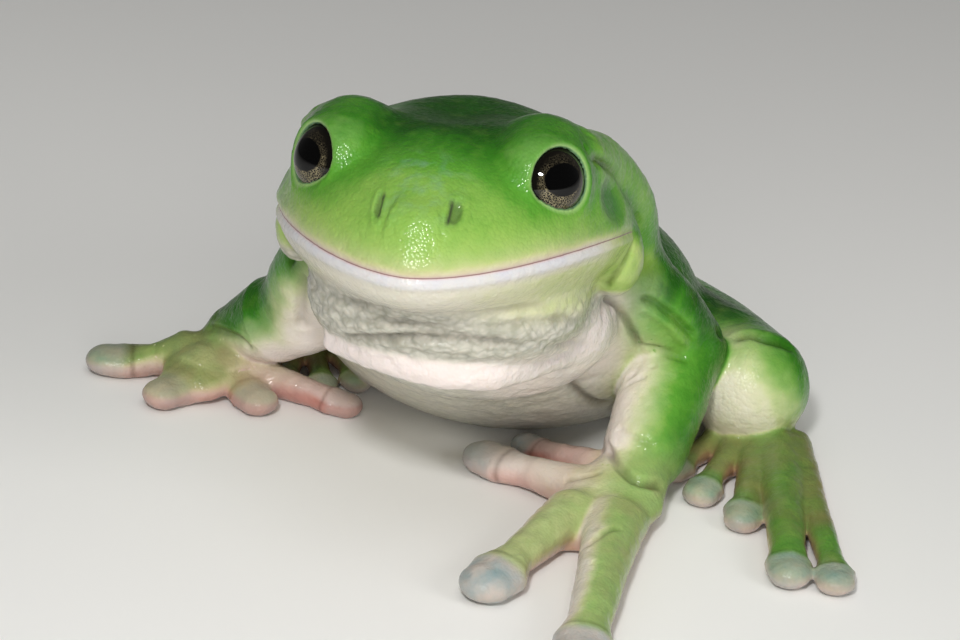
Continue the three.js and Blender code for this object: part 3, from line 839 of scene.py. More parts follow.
COVERS: dict[str, Cover] = {
    "left_arm.upper_arm": Cover((0.97, 0.2, 0.2), -0.25, 0.0, 0.0, 0.12, 0.5, added_shade=0.65),
    "left_arm.forearm": Cover((0.97, 0.05, 0.25), -0.12, 0.0, 0.0, 0.12, 0.75, added_shade=0.35),
    "left_arm.hand": Cover((0.95, -0.2, 0.35), 0.2, 0.3, 0.07, 0.2, 0.4),
    "left_arm.digit_1": Cover((0, 0, 1), 2.0, 1.0, 0.55, 0.2, 0.8),
    "left_arm.digit_2": Cover((0, 0, 1), 2.0, 0.75, 0.12, 0.2, 0.55, 0.6),
    "left_arm.digit_3": Cover((0.5, -0.3, 0.8), 0.35, 0.42, 0.06, 0.25, 0.35),
    "left_arm.digit_4": Cover((0.95, -0.2, 0.5), 0.2, 0.3, 0.03, 0.2, 0.4),
    "right_arm.upper_arm": Cover((-0.62, 0.2, 0.75), -0.12, 0.0, 0.0, 0.35, 0.7),
    "right_arm.forearm": Cover((-0.75, 0.0, 0.66), -0.02, 0.0, 0.0, 0.4, 0.9),
    "right_arm.hand": Cover((-0.3, 0.3, 0.9), 0.1, 0.12, 0.16, 0.5, 0.45),
    "right_arm.digit_1": Cover((0, 0, 1), 2.0, 0.9, 0.6, 0.4, 0.8, 0.35),
    "right_arm.digit_2": Cover((0, 0, 1), 0.2, 0.5, 0.4, 0.4, 0.6, 0.4),
    "right_arm.digit_3": Cover((-0.2, 0.3, 0.9), 0.2, 0.4, 0.35, 0.4, 0.5, 0.4),
    "right_arm.digit_4": Cover((-0.2, 0.3, 0.9), 0.1, 0.2, 0.12, 0.5, 0.4, 0.5),
    "left_leg.thigh": Cover((0.2, 0.6, 0.8), -0.5, 0.0, 0.0, 0.8),
    "left_leg.shank": Cover((0.78, 0.5, 0.5), 0.12, 0.0, 0.0, 0.25, 0.4, most=0.8),
    "left_leg.tarsus": Cover((0.3, 0, 0.95), 0.0, 0.0, 0.0, 0.7),
    "left_leg.foot": Cover((0.2, 0, 0.98), 0.0, 0.0, 0.25, 0.6),
    "right_leg.thigh": Cover((-0.3, 0.5, 0.8), -0.3, 0.0, 0.0, 0.8),
    "right_leg.shank": Cover((-0.72, 0.62, 0.5), 0.0, 0.0, 0.0, 0.5),
    "right_leg.tarsus": Cover((-0.3, 0, 0.95), 0.0, 0.0, 0.0, 0.7),
    "right_leg.foot": Cover((-0.2, 0, 0.98), 0.0, 0.0, 0.15, 0.7),
}
TOE_COVER = Cover((0, 0, 1), 0.0, 0.1, 0.04, 0.38, 0.2, 0.65, 0.1)


@dataclass(frozen=True)
class SkinMap:
    """Where the skin is pale, pink, dark, granular or folded.

    A pair of numbers is where a tint starts and where it is full, in millimetres unless a comment
    says otherwise.
    """

    body: Body
    gradient: float = 0.68  # how softly the green of a limb ends, as a share of its turn
    border: float = 0.9  # how softly neighbouring parts share the skin
    web_spread: float = 0.7  # how far a web's colour runs onto its digits
    eardrum: Blob = Blob((16.6, -5.6, 4.3), (3.2, 3.4, 2.4))
    nostril_at: Numbers = (3.76, -23.95, 5.43)
    # the right nostril is narrower than the left, standing in for shade over part of it
    nostril_halves: Numbers = (0.62, 0.34)
    nostril_height: float = 0.95
    nostril_slit: float = 0.22  # half width of the slit of painted shade in each nostril
    nostril_depth: float = 0.35
    nostril_rim: float = 0.16  # height of the soft rim round it
    # place above the mouth line, height and half width of each lip and of the line between them
    lips: tuple[Numbers, ...] = ((-0.8, 0.22, 0.5), (0.0, -0.16, 0.26), (1.0, 0.1, 0.6))
    # shades of green, 0 the lightest; snout and cheek are lighter than the brow by their shares;
    # the dark of crown and back is partly painted shade, the light of the ear roll partly painted light
    brow_green: float = 0.42
    snout_lift: float = 0.4
    cheek_lift: float = 0.27
    crown_green_and_shade: float = 0.8
    back_green_and_shade: float = 0.78
    flank_green: float = 0.66
    roll_green_and_painted_light: float = 0.14
    under_mouth: Numbers = (-1.5, 0.1)  # the pale of the jaw, round the mouth line
    corner_green: float = 0.55  # how much green the corner of the jaw keeps
    jaw_yellow: float = 0.32  # and the left half of the lower jaw
    chest_front: float = 9.6  # the pale chest ends this far back
    chest_top: float = 27.0
    belly_top: float = 8.5
    neck_slope: float = 1.03  # the pale of the neck rises towards the back by this much
    disc: Numbers = (0.66, 0.84)  # where the disc's colour comes in, as a share of the digit
    disc_ring: float = 0.67  # the dark ring behind the disc, as a share of the digit
    joint_ring: float = 0.4  # the fainter one at the next joint
    ring_half: float = 0.025
    throat_edge: Numbers = (3.6, 5.8)  # how far below the head's seat the throat turns grey
    throat_grey: float = 0.8
    throat_fold_mm: float = 1.7  # from one fold of the throat to the next
    throat_fold_height: float = 0.1
    throat_pebble_height: float = 0.15
    ring_shade: float = 0.55  # painted shade in the rings behind the discs
    eardrum_edge: Numbers = (-1.3, -0.3)  # as shares of its half axes
    eardrum_rim: float = 0.14  # height of its rim
    eardrum_depth: float = 0.35

    def shares(self, p: Array) -> dict[str, Array]:
        """How much each named part owns each place, adding up to 1."""
        gaps = {"core": np.minimum(self.body.core(p), FAR)}
        for limb in self.body.limbs:
            for name, form, _ in limb.forms():
                key = f"{limb.name}.{name}"
                here = within(p, *form.box(), 3)
                gap = gaps.setdefault(key, np.full(len(p), FAR))
                spread = self.web_spread if name == "web" else 0.0
                if len(here):
                    gap[here] = np.minimum(gap[here], form.distance(p[here]) - spread)
        least = np.min(list(gaps.values()), axis=0)
        weights = {key: np.exp(-(gap - least) / self.border) for key, gap in gaps.items()}
        total = np.sum(list(weights.values()), axis=0)
        return {key: weight / total for key, weight in weights.items()}

    def drum(self, h: Array) -> Array:
        """How far each place is from the middle of the eardrum, 1 at its edge."""
        return np.linalg.norm((one_sided(h) - self.eardrum.at) / self.eardrum.half, axis=1)

    def nostrils(self, h: Array) -> list[tuple[int, float, Array, Array, Array, Array]]:
        """Where each place lies from the two nostrils.

        Args:
            h: places in the head's frame.

        Returns:
            For each nostril its side, its half width, and the places' offsets across, along and
            up, with their reach from its middle, 1 at its edge.
        """
        out = []
        for sign, half in ((1, self.nostril_halves[0]), (-1, self.nostril_halves[1])):
            x, y, z = (h - self.nostril_at * np.array([sign, 1, 1])).T
            out.append((sign, half, x, y, z, np.hypot(x / half, z / self.nostril_height)))
        return out

    def core_pale(self, p: Array, h: Array, rise: Array) -> Array:
        """How pale head, throat and trunk are."""
        wander = 0.8 * grain(p, 4.0, seed=11) + 0.4 * grain(p, 1.6, seed=12)
        under = ramp(-(rise + wander * 0.25), *self.under_mouth)
        neck = ramp(-(h[:, 2] + self.neck_slope * h[:, 1] + wander * 0.5), -1.5, 1.5)
        side = np.abs(h[:, 0])
        head = np.where(h[:, 1] > 0, neck, under)
        # the corner of the jaw, and the left half of the lower jaw high up
        corner = ramp(side, 12.0, 16.5) * ramp(h[:, 1], -13.0, -3.0) * ramp(h[:, 2], -11.0, -7.5)
        yellow = ramp(h[:, 0] + 0.8 * wander, 2, 15) * ramp(-rise, 0.8, 2.2) * ramp(h[:, 2], -8.5, -5.5)
        head = head * (1 - np.maximum(self.corner_green * corner, self.jaw_yellow * yellow))
        chest = ramp(self.chest_front - p[:, 1] + wander, -1.5, 1.5) * ramp(self.chest_top - p[:, 2], 0, 3)
        belly = ramp(self.belly_top - p[:, 2] + wander, -2.5, 2.5)
        return np.maximum(head, np.maximum(chest, belly))

    def limbs(self, p: Array, normal: Array, share: dict[str, Array]) -> dict[str, Array]:
        """Colour of arms, legs and digits.

        Args:
            p: corners, in the frog's frame.
            normal: outward directions.
            share: how much each named part owns each corner.

        Returns:
            The values by name; neck is the ring behind each disc, later darkened as painted shade.
        """
        out = {key: np.zeros(len(p)) for key in ("pale", "shade", "rose", "flush", "pad", "neck")}
        drift = 0.14 * grain(p, 2.4, seed=21) + 0.06 * grain(p, 0.9, seed=22)
        for limb in self.body.limbs:
            for name, form, _ in limb.forms():
                if name == "web":
                    continue
                key = f"{limb.name}.{name}"
                own = share[key]
                cover = COVERS.get(key, TOE_COVER)
                outer = np.array(cover.outer) / np.linalg.norm(cover.outer)
                facing = normal @ outer + drift
                bare = ramp(cover.edge - facing, -self.gradient, self.gradient) * cover.most
                part = np.maximum(bare, cover.least)
                out["pale"] += own * part
                out["rose"] += own * cover.rose * part
                out["flush"] += own * np.maximum(cover.flush + 0.8 * drift * (cover.flush > 0), 0)
                # the outer side of each bone is darker: painted shade on the side turned away from the
                # front
                out["shade"] += own * (cover.shade + cover.added_shade * ramp(facing, 0.35, 1.0))
                if name.startswith(("digit", "hand", "foot")):
                    # the skin near the ground is pinker, but not on top of thin digits
                    low = ramp(-p[:, 2], -3.4, -0.8) * ramp(0.85 - normal[:, 2], 0, 0.5)
                    out["flush"] += own * 0.6 * low
                if name.startswith("digit"):
                    here = np.flatnonzero(own > 0.02)
                    along = form.nearest(p[here])[0]
                    disc, ring = np.zeros(len(p)), np.zeros(len(p))
                    edge = along + 0.03 * drift[here]
                    disc[here] = ramp(edge, *self.disc)
                    ring[here] = (
                        hump(edge - self.disc_ring, self.ring_half)
                        + 0.25 * hump(edge - self.joint_ring, self.ring_half)
                    )
                    out["pad"] += own * disc * cover.pad
                    out["neck"] += own * ring
            # webs are red-brown: thin and pale between the fingers, dark between the toes, partly as
            # painted shade
            web = share.get(f"{limb.name}.web", np.zeros(len(p)))
            arm = limb.name.endswith("arm")
            out["flush"] += web * (0.75 if arm else 1.0)
            out["pale"] += web * (0.7 if arm else 0.2)
            out["shade"] += web * (0.2 if arm else 0.9)
        return out

    def crown(self, p: Array, h: Array, side: Array) -> Array:
        """How dark the green is on head and trunk; each part is laid over those before it."""
        streak = grain(np.stack([h[:, 0] * 2.2, h[:, 1] * 0.5, h[:, 2]], 1), 1.2, seed=31)
        ahead = -h[:, 1]
        shade = self.brow_green - self.snout_lift * ramp(ahead, 14.5, 22.5)
        cheek = ramp(side, 9, 15) * ramp(-h[:, 2], -8.5, -3.5)
        shade = shade - self.cheek_lift * cheek * ramp(ahead, -3, 3)
        # the crown between and behind the eyes, then back and flank, then the roll over the ear;
        # crown and back are darkened partly as painted shade
        front = ramp(14.8 - ahead + 0.8 * streak, -2.5, 4.5)
        hollow = front * ramp(6.8 - side + 0.5 * streak, -3, 3) * ramp(h[:, 2], 5, 9)
        shade = shade + (self.crown_green_and_shade - shade) * hollow
        back = ramp(p[:, 1], 1.5, 12) * ramp(h[:, 2], 2, 6)
        shade = shade + (self.back_green_and_shade + 0.06 * streak - shade) * back
        flank = ramp(p[:, 1], 3, 10) * (1 - ramp(h[:, 2], 2, 6))
        shade = shade + (self.flank_green - shade) * flank
        # the ear roll is lightened, partly its own bright green and partly painted light on a side turned
        # from the key
        roll = self.body.head.fold.distance(one_sided(h))
        bright = ramp(-roll, -1.6, 0.0) * ramp(-h[:, 1], -15, -8)
        return shade + (self.roll_green_and_painted_light - shade) * bright

    def rosy(self, p: Array) -> Array:
        """Where the roll across the chest is rosy white."""
        roll = self.body.chest_roll
        near = within(p, *roll.box(), 6)
        rosy = np.zeros(len(p))
        rosy[near] = ramp(-roll.distance(p[near]), -0.8, 0.0) * ramp(12.6 - p[near, 0], 0, 5)
        return rosy

    def crease_shading(self, p: Array, h: Array, neck: Array) -> Array:
        """How much painted shade darkens folds and the rings behind the discs.

        Args:
            p: corners, in the frog's frame.
            h: the same in the head's frame.
            neck: the rings behind the discs.

        Returns:
            One value for each corner.
        """
        crease = self.ring_shade * neck
        for fold in FOLDS:
            if fold.painted_shade:
                here, strength = fold.shade(p, h)
                crease[here] = np.maximum(crease[here], fold.painted_shade * strength)
        return crease

    def nostril_pit_shade(self, h: Array) -> Array:
        """Painted shade in the nostrils: a dark slit, curved outwards at its ends, in a shallow pit."""
        out = np.zeros(len(h))
        for sign, half, across, along, up, away in self.nostrils(h):
            bow = across + sign * (0.75 * half + 0.12 * up * up)
            slit = hump(bow, self.nostril_slit) * ramp(-np.abs(up), -1.2, -0.7)
            out += np.maximum(0.5 * ramp(-away, -1.15, -0.75), slit) * (np.abs(along) < 3)
        return out

    def masks(self, p: Array, normal: Array) -> dict[Region, Array]:
        """Everything the skin carries.

        Args:
            p: corners, in the frog's frame.
            normal: outward directions.

        Returns:
            The values by region.
        """
        head = self.body.head
        h = head.pose.to_head(p)
        side = np.abs(h[:, 0])
        rise = head.rise(h)
        share = self.shares(p)
        core = share["core"]
        limbs = self.limbs(p, normal, share)
        bare = self.core_pale(p, h, rise)
        rosy = self.rosy(p)
        chest = ramp(24.5 - p[:, 2], 0, 3) * ramp(p[:, 2], 9, 15) * ramp(self.chest_front - p[:, 1], -2, 2)
        # the throat turns grey under a line that drops to the left; the trunk is whiter
        low_jaw = -h[:, 2] - 0.13 * np.maximum(h[:, 0], 0)
        throat = ramp(low_jaw, *self.throat_edge) * bare
        trunk = ramp(21.5 - p[:, 2], 0, 3) * (0.45 + 0.35 * ramp(p[:, 0], 6, -6))
        brow = ramp(-h[:, 1], 16, 19) * ramp(h[:, 1], -27, -22)
        values = {
            Region.PALE: core * bare + limbs["pale"],
            Region.SHADE: core * self.crown(p, h, side) + limbs["shade"],
            Region.ROSE: core * np.maximum(rosy, 0.9 * chest * ramp(p[:, 0], 2, 10)) + limbs["rose"],
            Region.FLUSH: limbs["flush"],
            Region.GREY: self.throat_grey * core * throat * (1 - rosy) * (1 - trunk),
            Region.PAD: limbs["pad"],
            Region.EAR: core * ramp(-self.drum(h), *self.eardrum_edge),
            Region.CREASE: self.crease_shading(p, h, limbs["neck"]),
            Region.MOUTH: core * ramp(-h[:, 1], -0.8, 0.8) * ramp(h[:, 2], -8, -6),
            Region.WHITE: ramp(-h[:, 1], 5, 17) * (0.8 + 0.2 * grain(p, 1.2, seed=51)),
            Region.NOSTRIL: core * self.nostril_pit_shade(h),
            Region.BLOOM: core * brow * ramp(6 - side, 0, 5) * ramp(h[:, 2], 2, 5),
        }
        clipped = {region: np.clip(value, 0, 1) for region, value in values.items()}
        clipped[Region.RISE] = np.clip(rise, -9, 9)
        return clipped

    def relief(self, p: Array) -> Array:
        """Height of lips, creases and wrinkles above the soft form.

        Args:
            p: corners, in the frog's frame.

        Returns:
            One height for each corner, in millimetres.
        """
        head = self.body.head
        h = head.pose.to_head(p)
        side = np.abs(h[:, 0])
        rise = head.rise(h)
        core = ramp(-self.body.core(p), -1.5, -0.3)
        ahead = ramp(-h[:, 1], -1.0, 1.0) * ramp(h[:, 2], -8, -6)
        out = sum(height * hump(rise - place, half) for place, height, half in self.lips) * ahead
        for _, _, _, along, _, away in self.nostrils(h):
            near = ramp(-np.abs(along), -3.0, -1.5)
            pit, rim = ramp(-away, -1.1, -0.4), hump(away - 1.7, 0.5)
            out += near * (-self.nostril_depth * pit + self.nostril_rim * rim)
        # wavy folds and pebbles on the throat, calmer where it meets the chest
        front = ramp(12 - p[:, 1], -3, 3)
        throat = ramp(-h[:, 2], 3.4, 6.4) * front * (1 - 0.65 * ramp(23.2 - p[:, 2], -0.6, 1.4))
        turns = h[:, 2] / self.throat_fold_mm + 0.55 * grain(p, 3.5, seed=41) + 0.2 * grain(p, 1.3, seed=42)
        wave = np.sin(2 * math.pi * turns)
        pebble = grain(p * (0.75, 0.75, 1.3), 0.7, seed=43)
        rough = self.throat_fold_height * wave + self.throat_pebble_height * pebble
        out += throat * rough * ramp(18 - side, 0, 4)
        drum = self.drum(h)
        out += self.eardrum_rim * hump(drum - 1.15, 0.3) - self.eardrum_depth * ramp(-drum, -1.1, -0.3)
        out = out * core
        for fold in FOLDS:
            here, strength = fold.shade(p, h)
            out[here] += fold.height * strength
        # fine wrinkles everywhere, coarser ones on hands and feet
        handy = ramp(-p[:, 2], -9, -5) * (1 - core)
        wrinkles = 0.07 * grain(p, 1.7, seed=45) + 0.04 * grain(p, 0.9, seed=46)
        return out + 0.035 * grain(p, 0.7, seed=44) + handy * wrinkles


# ---------------------------------------------------------------- finishes
def tone(code: str, alpha: float = 1.0) -> tuple[float, float, float, float]:
    """An sRGB hex colour as linear values."""
    parts = [int(code[i:i + 2], 16) / 255 for i in (1, 3, 5)]
    linear = [c / 12.92 if c <= 0.04045 else ((c + 0.055) / 1.055) ** 2.4 for c in parts]
    return (linear[0], linear[1], linear[2], alpha)


def add(tree: bpy.types.NodeTree, kind: str, wires: dict | None = None,
        stops: Sequence[tuple] = (), **settings: object) -> bpy.types.Node:
    """Adds a node.

    Args:
        tree: the node tree.
        kind: the node's type.
        wires: what goes to each input: a value, or another node's output.
        stops: place and colour of each stop, for a node with a ramp.
        settings: the node's own properties.

    Returns:
        The node.
    """
    node = tree.nodes.new(kind)
    for name, value in settings.items():
        setattr(node, name, value)
    for i, (at, colour) in enumerate(stops):
        ramp_stops = node.color_ramp.elements
        stop = ramp_stops[i] if i < 2 else ramp_stops.new(at)
        stop.position, stop.color = at, colour
    for key, value in (wires or {}).items():
        if isinstance(value, bpy.types.NodeSocket):
            tree.links.new(value, node.inputs[key])
        else:
            node.inputs[key].default_value = value
    return node


@dataclass(frozen=True)
class Finish:
    """A material with one principled shader."""

    name: str

    def begin(self) -> tuple[bpy.types.Material, bpy.types.NodeTree, bpy.types.Node]:
        """A new material, its tree and its shader."""
        material = bpy.data.materials.new(self.name)
        material.use_nodes = True
        return material, material.node_tree, material.node_tree.nodes["Principled BSDF"]


@dataclass(frozen=True)
class Bench:
    """What the parts of the hide's node tree share."""

    tree: bpy.types.NodeTree
    mm: bpy.types.NodeSocket  # places in millimetres
    carried: dict[Region, bpy.types.NodeSocket]
    noise: dict[float, bpy.types.NodeSocket]  # by the width of its blotches in millimetres


@dataclass(frozen=True)
class FrogHide(Finish):
    """Moist living skin of a tree frog: smooth and granular, with a wet film over it.

    To the eye it is lime green and softly translucent, going through yellow-green to cream
    underneath, with small bright glints where the film lies on the granules.
    """

    name: str = "moist_frog_skin"
    eyes: tuple[Numbers, ...] = ()
    eye_radius: float = 4.6
    greens: tuple[tuple[float, str], ...] = (
        (0.0, "#7fa649"), (0.22, "#528f2c"), (0.5, "#327118"), (0.75, "#1e5110"), (1.0, "#13390a"),
    )
    pales: tuple[tuple[float, str, float], ...] = (
        (0.0, "#86ac45", 0.0), (0.3, "#97b352", 0.55), (0.55, "#b3c07a", 0.92), (0.78, "#c9c9a4", 1.0),
        (1.0, "#d2cdbd", 1.0),
    )
    # height above the mouth line in millimetres, colour, and how far it covers the skin
    lips: tuple[tuple[float, str, float], ...] = (
        (-2.1, "#c4bfae", 0.0), (-1.4, "#c9c4b8", 0.7), (-1.0, "#c9c7c7", 1.0), (-0.25, "#c5c4ca", 1.0),
        (-0.1, "#c6b2b6", 1.0), (0.1, "#b59c92", 1.0), (0.3, "#bfb394", 0.9),
        (1.0, "#b7ba88", 0.75), (2.2, "#a9bb70", 0.5), (4.2, "#9bb85c", 0.0),
    )
    lip_span: float = 5.0
    seam: str = "#8c6f69"
    seam_mm: float = 0.05
    grey: str = "#bcb9ad"
    # painted shade in the grooves between the throat's pebbles
    groove_shade: str = "#898a7c"
    rose: str = "#e2d6d0"
    flush: str = "#cb958a"
    web: str = "#7c3a22"
    bloom: str = "#6f978a"
    pad_pink: str = "#b8aca2"
    pad_blue: str = "#86999a"
    # darker green of the eardrum, partly painted shade in its hollow
    ear: str = "#467a38"
    # painted shade in the nostril pits
    pit: str = "#39402f"
    shadow: str = "#6a5a4c"
    shadow_strength: float = 0.8
    # eyelid rings, from the outside in: width and softness in millimetres, and colour
    lid_rings: tuple[tuple[float, float, str], ...] = ((0.66, 0.35, "#9dbb78"), (0.32, 0.14, "#2f5647"))
    lid_strength: float = 0.7
    mottle_mm: float = 3.2
    mottle: float = 0.26  # how far the mottling shifts the green
    wash_mm: float = 1.4
    wash: float = 0.22  # how far it moves the edge of the cream
    speck_mm: float = 0.5
    speck: float = 0.16
    granule_mm: float = 0.36
    granule_height: float = 0.6
    pebble_mm: float = 0.7  # the throat's pebbles are about this wide on a large frog
    pebble_height: float = 0.75
    pebble_stretch: Numbers = (0.75, 0.8, 1.25)
    bump_mm: float = 0.12
    bump_strength: float = 0.7
    bloom_strength: float = 0.32  # weight of the pale bloom on the brow
    wet: float = 0.7  # weight of the wet film on snout and digits
    dry: float = 0.2  # and on the dark back

    def build(self) -> bpy.types.Material:
        """The material with its nodes."""
        material, tree, shader = self.begin()
        place = add(tree, "ShaderNodeTexCoord").outputs["Object"]
        mm = add(tree, "ShaderNodeVectorMath", {0: place, "Scale": 1 / MM}, operation="SCALE").outputs[0]
        carried = {
            region: add(tree, "ShaderNodeAttribute", attribute_name=region.value).outputs["Fac"]
            for region in Region
        }
        noise = {
            size: add(
                tree, "ShaderNodeTexNoise", {"Vector": mm, "Scale": 1 / size, "Detail": 3.0},
            ).outputs[0]
            for size in (self.mottle_mm, self.wash_mm, self.speck_mm)
        }
        bench = Bench(tree, mm, carried, noise)
        pebble = self.pebbles(bench)
        skin = self.washes(bench, self.ground(bench), pebble)
        skin = self.mouth(bench, skin)
        skin = self.lids(bench, skin)
        # painted shade: folds and the rings behind the discs are darkened with the shadow colour
        added_shade = add(
            tree, "ShaderNodeMath", {0: carried[Region.CREASE], 1: self.shadow_strength},
            operation="MULTIPLY",
        ).outputs[0]
        skin = add(
            tree, "ShaderNodeMix", {0: added_shade, 6: skin, 7: tone(self.shadow)}, data_type="RGBA",
            blend_type="MULTIPLY",
        ).outputs[2]
        tree.links.new(skin, shader.inputs["Base Color"])
        self.film(bench, shader, pebble)
        return material

    def ground(self, bench: Bench) -> bpy.types.NodeSocket:
        """Colour of the plain skin.

        Args:
            bench: what the nodes share.

        Returns:
            Green, lighter and darker by the mottling, going through yellow-green to cream.
        """
        tree, carried, noise = bench.tree, bench.carried, bench.noise
        drift = add(
            tree, "ShaderNodeMath", {0: noise[self.mottle_mm], 1: self.mottle, 2: -self.mottle / 2},
            operation="MULTIPLY_ADD",
        ).outputs[0]
        speck = add(
            tree, "ShaderNodeMath", {0: noise[self.speck_mm], 1: self.speck, 2: drift},
            operation="MULTIPLY_ADD",
        ).outputs[0]
        depth = add(
            tree, "ShaderNodeMath", {0: carried[Region.SHADE], 1: speck}, operation="ADD",
        ).outputs[0]
        level = add(tree, "ShaderNodeMath", {0: depth, 1: self.speck / 2}, operation="SUBTRACT").outputs[0]
        green = add(
            tree, "ShaderNodeValToRGB", {0: level}, [(at, tone(code)) for at, code in self.greens],
        ).outputs[0]
        spread = add(
            tree, "ShaderNodeMath", {0: noise[self.wash_mm], 1: self.wash, 2: carried[Region.PALE]},
            operation="MULTIPLY_ADD",
        ).outputs[0]
        wash = add(tree, "ShaderNodeMath", {0: spread, 1: self.wash / 2}, operation="SUBTRACT").outputs[0]
        cream = add(
            tree, "ShaderNodeValToRGB", {0: wash},
            [(at, tone(code, alpha)) for at, code, alpha in self.pales],
        )
        return add(
            tree, "ShaderNodeMix", {0: cream.outputs["Alpha"], 6: green, 7: cream.outputs[0]},
            data_type="RGBA",
        ).outputs[2]

    def pebbles(self, bench: Bench) -> bpy.types.NodeSocket:
        """How far each place is from the middle of its pebble; pebbles are wider than high."""
        tree, mm = bench.tree, bench.mm
        warp = add(tree, "ShaderNodeTexNoise", {"Vector": mm, "Scale": 0.6, "Detail": 2.0}).outputs["Color"]
        moved = add(
            tree, "ShaderNodeVectorMath", {0: warp, 1: (1.6, 1.6, 1.6), 2: mm}, operation="MULTIPLY_ADD",
        ).outputs[0]
        wide = add(
            tree, "ShaderNodeVectorMath", {0: moved, 1: self.pebble_stretch}, operation="MULTIPLY",
        ).outputs[0]
        return add(
            tree, "ShaderNodeTexVoronoi",
            {"Vector": wide, "Scale": 1 / self.pebble_mm, "Smoothness": 0.5, "Randomness": 1.0},
            feature="SMOOTH_F1",
        ).outputs["Distance"]

    def washes(
        self, bench: Bench, skin: bpy.types.NodeSocket, pebble: bpy.types.NodeSocket,
    ) -> bpy.types.NodeSocket:
        """Lays the other colours over the plain skin.

        Args:
            bench: what the nodes share.
            skin: colour of the plain skin.
            pebble: the throat's pebbles.

        Returns:
            The colour with throat, roses, webs, discs, eardrum and bloom.
        """
        tree, carried, noise = bench.tree, bench.carried, bench.noise
        # the throat is darker in the grooves between its pebbles: painted shade
        groove_shade = add(tree, "ShaderNodeMapRange", {0: pebble, 1: 0.25, 2: 0.85}).outputs[0]
        blotch = add(tree, "ShaderNodeMapRange", {0: noise[self.mottle_mm], 1: 0.3, 2: 0.7}).outputs[0]
        throat, flush, pad = (
            add(
                tree, "ShaderNodeMix", {0: share, 6: tone(one), 7: tone(other)}, data_type="RGBA",
            ).outputs[2]
            for share, one, other in (
                (groove_shade, self.grey, self.groove_shade), (carried[Region.SHADE], self.flush, self.web),
                (blotch, self.pad_pink, self.pad_blue),
            )
        )
        fleck = add(
            tree, "ShaderNodeMapRange", {0: noise[self.wash_mm], 1: 0.45, 2: 0.7, 4: self.bloom_strength},
        ).outputs[0]
        dust = add(
            tree, "ShaderNodeMath", {0: carried[Region.BLOOM], 1: fleck}, operation="MULTIPLY",
        ).outputs[0]
        for share, colour in (
            (carried[Region.GREY], throat), (carried[Region.ROSE], tone(self.rose)),
            (carried[Region.FLUSH], flush), (carried[Region.PAD], pad),
            (carried[Region.EAR], tone(self.ear)), (dust, tone(self.bloom)),
        ):
            skin = add(tree, "ShaderNodeMix", {0: share, 6: skin, 7: colour}, data_type="RGBA").outputs[2]
        return skin

    def mouth(self, bench: Bench, skin: bpy.types.NodeSocket) -> bpy.types.NodeSocket:
        """Lays on the lips, the line between them and the painted shade in the pits of the nostrils.

        Args:
            bench: what the nodes share.
            skin: the colour so far.

        Returns:
            The colour with mouth and nostrils.
        """
        tree, carried, span = bench.tree, bench.carried, self.lip_span
        height = add(tree, "ShaderNodeMapRange", {0: carried[Region.RISE], 1: -span, 2: span}).outputs[0]
        lip = add(
            tree, "ShaderNodeValToRGB", {0: height},
            [((at + span) / (2 * span), tone(code, alpha)) for at, code, alpha in self.lips],
        )
        across = add(tree, "ShaderNodeMath", {0: carried[Region.RISE]}, operation="ABSOLUTE").outputs[0]
        line = add(
            tree, "ShaderNodeMapRange", {0: across, 1: 1.8 * self.seam_mm, 2: 0.7 * self.seam_mm},
        ).outputs[0]
        white = add(
            tree, "ShaderNodeMath", {0: lip.outputs["Alpha"], 1: carried[Region.WHITE]},
            operation="MULTIPLY",
        ).outputs[0]
        cover, seam = (
            add(
                tree, "ShaderNodeMath", {0: share, 1: carried[Region.MOUTH]}, operation="MULTIPLY",
            ).outputs[0]
            for share in (white, line)
        )
        for share, colour in (
            (cover, lip.outputs[0]), (seam, tone(self.seam)), (carried[Region.NOSTRIL], tone(self.pit)),
        ):
            skin = add(tree, "ShaderNodeMix", {0: share, 6: skin, 7: colour}, data_type="RGBA").outputs[2]
        return skin

    def lids(self, bench: Bench, skin: bpy.types.NodeSocket) -> bpy.types.NodeSocket:
        """Rings each eye with a dark teal lid edge and a pale bow outside it.

        Args:
            bench: what the nodes share.
            skin: the colour so far.

        Returns:
            The colour with the edges of the eyelids.
        """
        tree = bench.tree
        for eye in self.eyes:
            away = add(
                tree, "ShaderNodeVectorMath", {0: bench.mm, 1: eye}, operation="DISTANCE",
            ).outputs["Value"]
            for width, softness, code in self.lid_rings:
                edge = self.eye_radius + width
                ring = add(
                    tree, "ShaderNodeMapRange",
                    {0: away, 1: edge, 2: edge - softness, 4: self.lid_strength},
                ).outputs[0]
                skin = add(
                    tree, "ShaderNodeMix", {0: ring, 6: skin, 7: tone(code)}, data_type="RGBA",
                ).outputs[2]
        return skin

